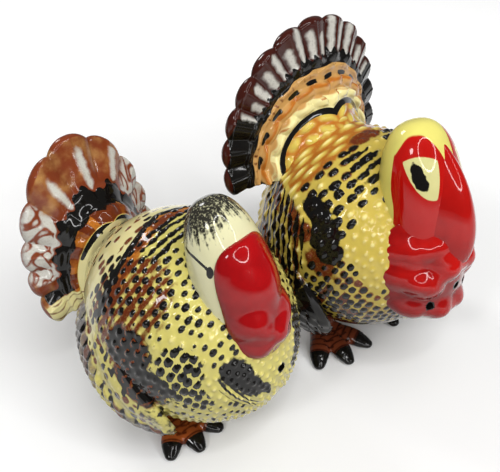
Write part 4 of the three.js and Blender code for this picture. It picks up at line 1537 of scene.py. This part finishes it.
low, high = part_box("tom_stopper")
target = Vector((
    (low.x + high.x) / 2 + CAMERA_AIM[0],
    (low.y + high.y) / 2 + CAMERA_AIM[1],
    CAMERA_AIM[2],
))
lens = bpy.data.cameras.new("camera")
lens.lens = LENS
lens.sensor_width = SENSOR_WIDTH
lens.clip_start = NEAREST_SEEN
camera = bpy.data.objects.new("camera", lens)
towards = aim(CAMERA_TURN, CAMERA_RISE)
camera.location = target + CAMERA_DISTANCE * towards
camera.rotation_euler = towards.to_track_quat("Z", "Y").to_euler()
bpy.context.scene.collection.objects.link(camera)
bpy.context.scene.camera = camera

# The camera and the glaze see pale paper, brighter away from the birds; other rays meet a darker one, so
# that little light comes back up under the birds
FLOOR_SIZE = 4.0
PAPER_SEEN = (0.95, 0.95, 0.945, 1)
PAPER_BOUNCE = (0.14, 0.14, 0.14, 1)
GLOW_START = 0.08
GLOW_FULL = 0.3
GLOW_STRENGTH = 0.32
floor_mesh = bpy.data.meshes.new("floor")
half = FLOOR_SIZE / 2
floor_corners = [(-half, -half, 0), (half, -half, 0), (half, half, 0), (-half, half, 0)]
floor_mesh.from_pydata(floor_corners, [], [(0, 1, 2, 3)])
floor_paint = bpy.data.materials.new("floor_paper")
floor_paint.use_nodes = True
floor_surface = floor_paint.node_tree.nodes["Principled BSDF"]
nodes, links = floor_paint.node_tree.nodes, floor_paint.node_tree.links
ray = nodes.new("ShaderNodeLightPath").outputs
seen = add_math(nodes, links, "MAXIMUM", ray["Is Camera Ray"], ray["Is Glossy Ray"])
seen = add_math(nodes, links, "MAXIMUM", seen, ray["Is Transmission Ray"])
links.new(add_mix(nodes, links, seen, PAPER_BOUNCE, PAPER_SEEN), floor_surface.inputs["Base Color"])
floor_surface.inputs["Roughness"].default_value = 0.9
spread_out = nodes.new("ShaderNodeVectorMath")
spread_out.operation = "LENGTH"
links.new(nodes.new("ShaderNodeTexCoord").outputs["Object"], spread_out.inputs[0])
far = nodes.new("ShaderNodeMapRange")
far.interpolation_type = "SMOOTHSTEP"
links.new(spread_out.outputs["Value"], far.inputs["Value"])
far.inputs["From Min"].default_value = GLOW_START
far.inputs["From Max"].default_value = GLOW_FULL
far.inputs["To Max"].default_value = GLOW_STRENGTH
floor_surface.inputs["Emission Color"].default_value = (1, 1, 1, 1)
floor_glow = add_math(nodes, links, "MULTIPLY", seen, far.outputs["Result"])
links.new(floor_glow, floor_surface.inputs["Emission Strength"])
floor_mesh.materials.append(floor_paint)
floor = bpy.data.objects.new("floor", floor_mesh)
bpy.context.scene.collection.objects.link(floor)

RING_TURN = math.radians(-15)
RING_RISE = math.radians(48)
RING_DISTANCE = 0.62
RING_RADIUS = 0.26
RING_WIDTH = 0.013
RING_SIDES = 64
RING_STRENGTH = 22.0
edit = bmesh.new()
inner = []
outer = []
for step in range(RING_SIDES):
    turn = 2 * math.pi * step / RING_SIDES
    for edge, reach in ((inner, RING_RADIUS - RING_WIDTH), (outer, RING_RADIUS + RING_WIDTH)):
        edge.append(edit.verts.new((reach * math.cos(turn), reach * math.sin(turn), 0)))
for step in range(RING_SIDES):
    after = (step + 1) % RING_SIDES
    edit.faces.new((inner[step], inner[after], outer[after], outer[step]))
ring_mesh = bpy.data.meshes.new("ring_lamp")
ring_way = aim(RING_TURN, RING_RISE)
ring_turned = ring_way.to_track_quat("Z", "Y").to_matrix().to_4x4()
edit.transform(Matrix.Translation(RING_DISTANCE * ring_way) @ ring_turned)
edit.to_mesh(ring_mesh)
edit.free()
ring_glow = bpy.data.materials.new("ring_glow")
ring_glow.use_nodes = True
nodes, links = ring_glow.node_tree.nodes, ring_glow.node_tree.links
nodes.remove(nodes["Principled BSDF"])
glow = nodes.new("ShaderNodeEmission")
glow.inputs["Strength"].default_value = RING_STRENGTH
links.new(glow.outputs[0], nodes["Material Output"].inputs["Surface"])
ring_mesh.materials.append(ring_glow)
ring = bpy.data.objects.new("ring_lamp", ring_mesh)
ring.visible_camera = False
bpy.context.scene.collection.objects.link(ring)

# Soft lamps: turn and rise in degrees, distance and size in metres, and power in watts. The wide top lamp
# only fills, and the glaze doesn't mirror it.
SOFT_LAMPS = [
    ("top_lamp", 20, 70, 1.2, 1.2, 5.0),
    ("left_lamp", -80, 42, 1.1, 0.2, 2.2),
    ("back_lamp", -177, 40, 1.1, 0.25, 2.5),
]
AIR_STRENGTH = 0.16
for name, turn, rise, distance, size, power in SOFT_LAMPS:
    lamp = bpy.data.lights.new(name, "AREA")
    lamp.shape = "DISK"
    lamp.size = size
    lamp.energy = power
    holder = bpy.data.objects.new(name, lamp)
    way = aim(math.radians(turn), math.radians(rise))
    holder.location = distance * way
    holder.visible_glossy = name != "top_lamp"
    holder.rotation_euler = way.to_track_quat("Z", "Y").to_euler()
    bpy.context.scene.collection.objects.link(holder)

world = bpy.data.worlds.new("studio_air")
world.use_nodes = True
air = world.node_tree.nodes["Background"]
air.inputs["Color"].default_value = (1, 1, 1, 1)
air.inputs["Strength"].default_value = AIR_STRENGTH
bpy.context.scene.world = world
bpy.context.scene.view_settings.view_transform = "Standard"
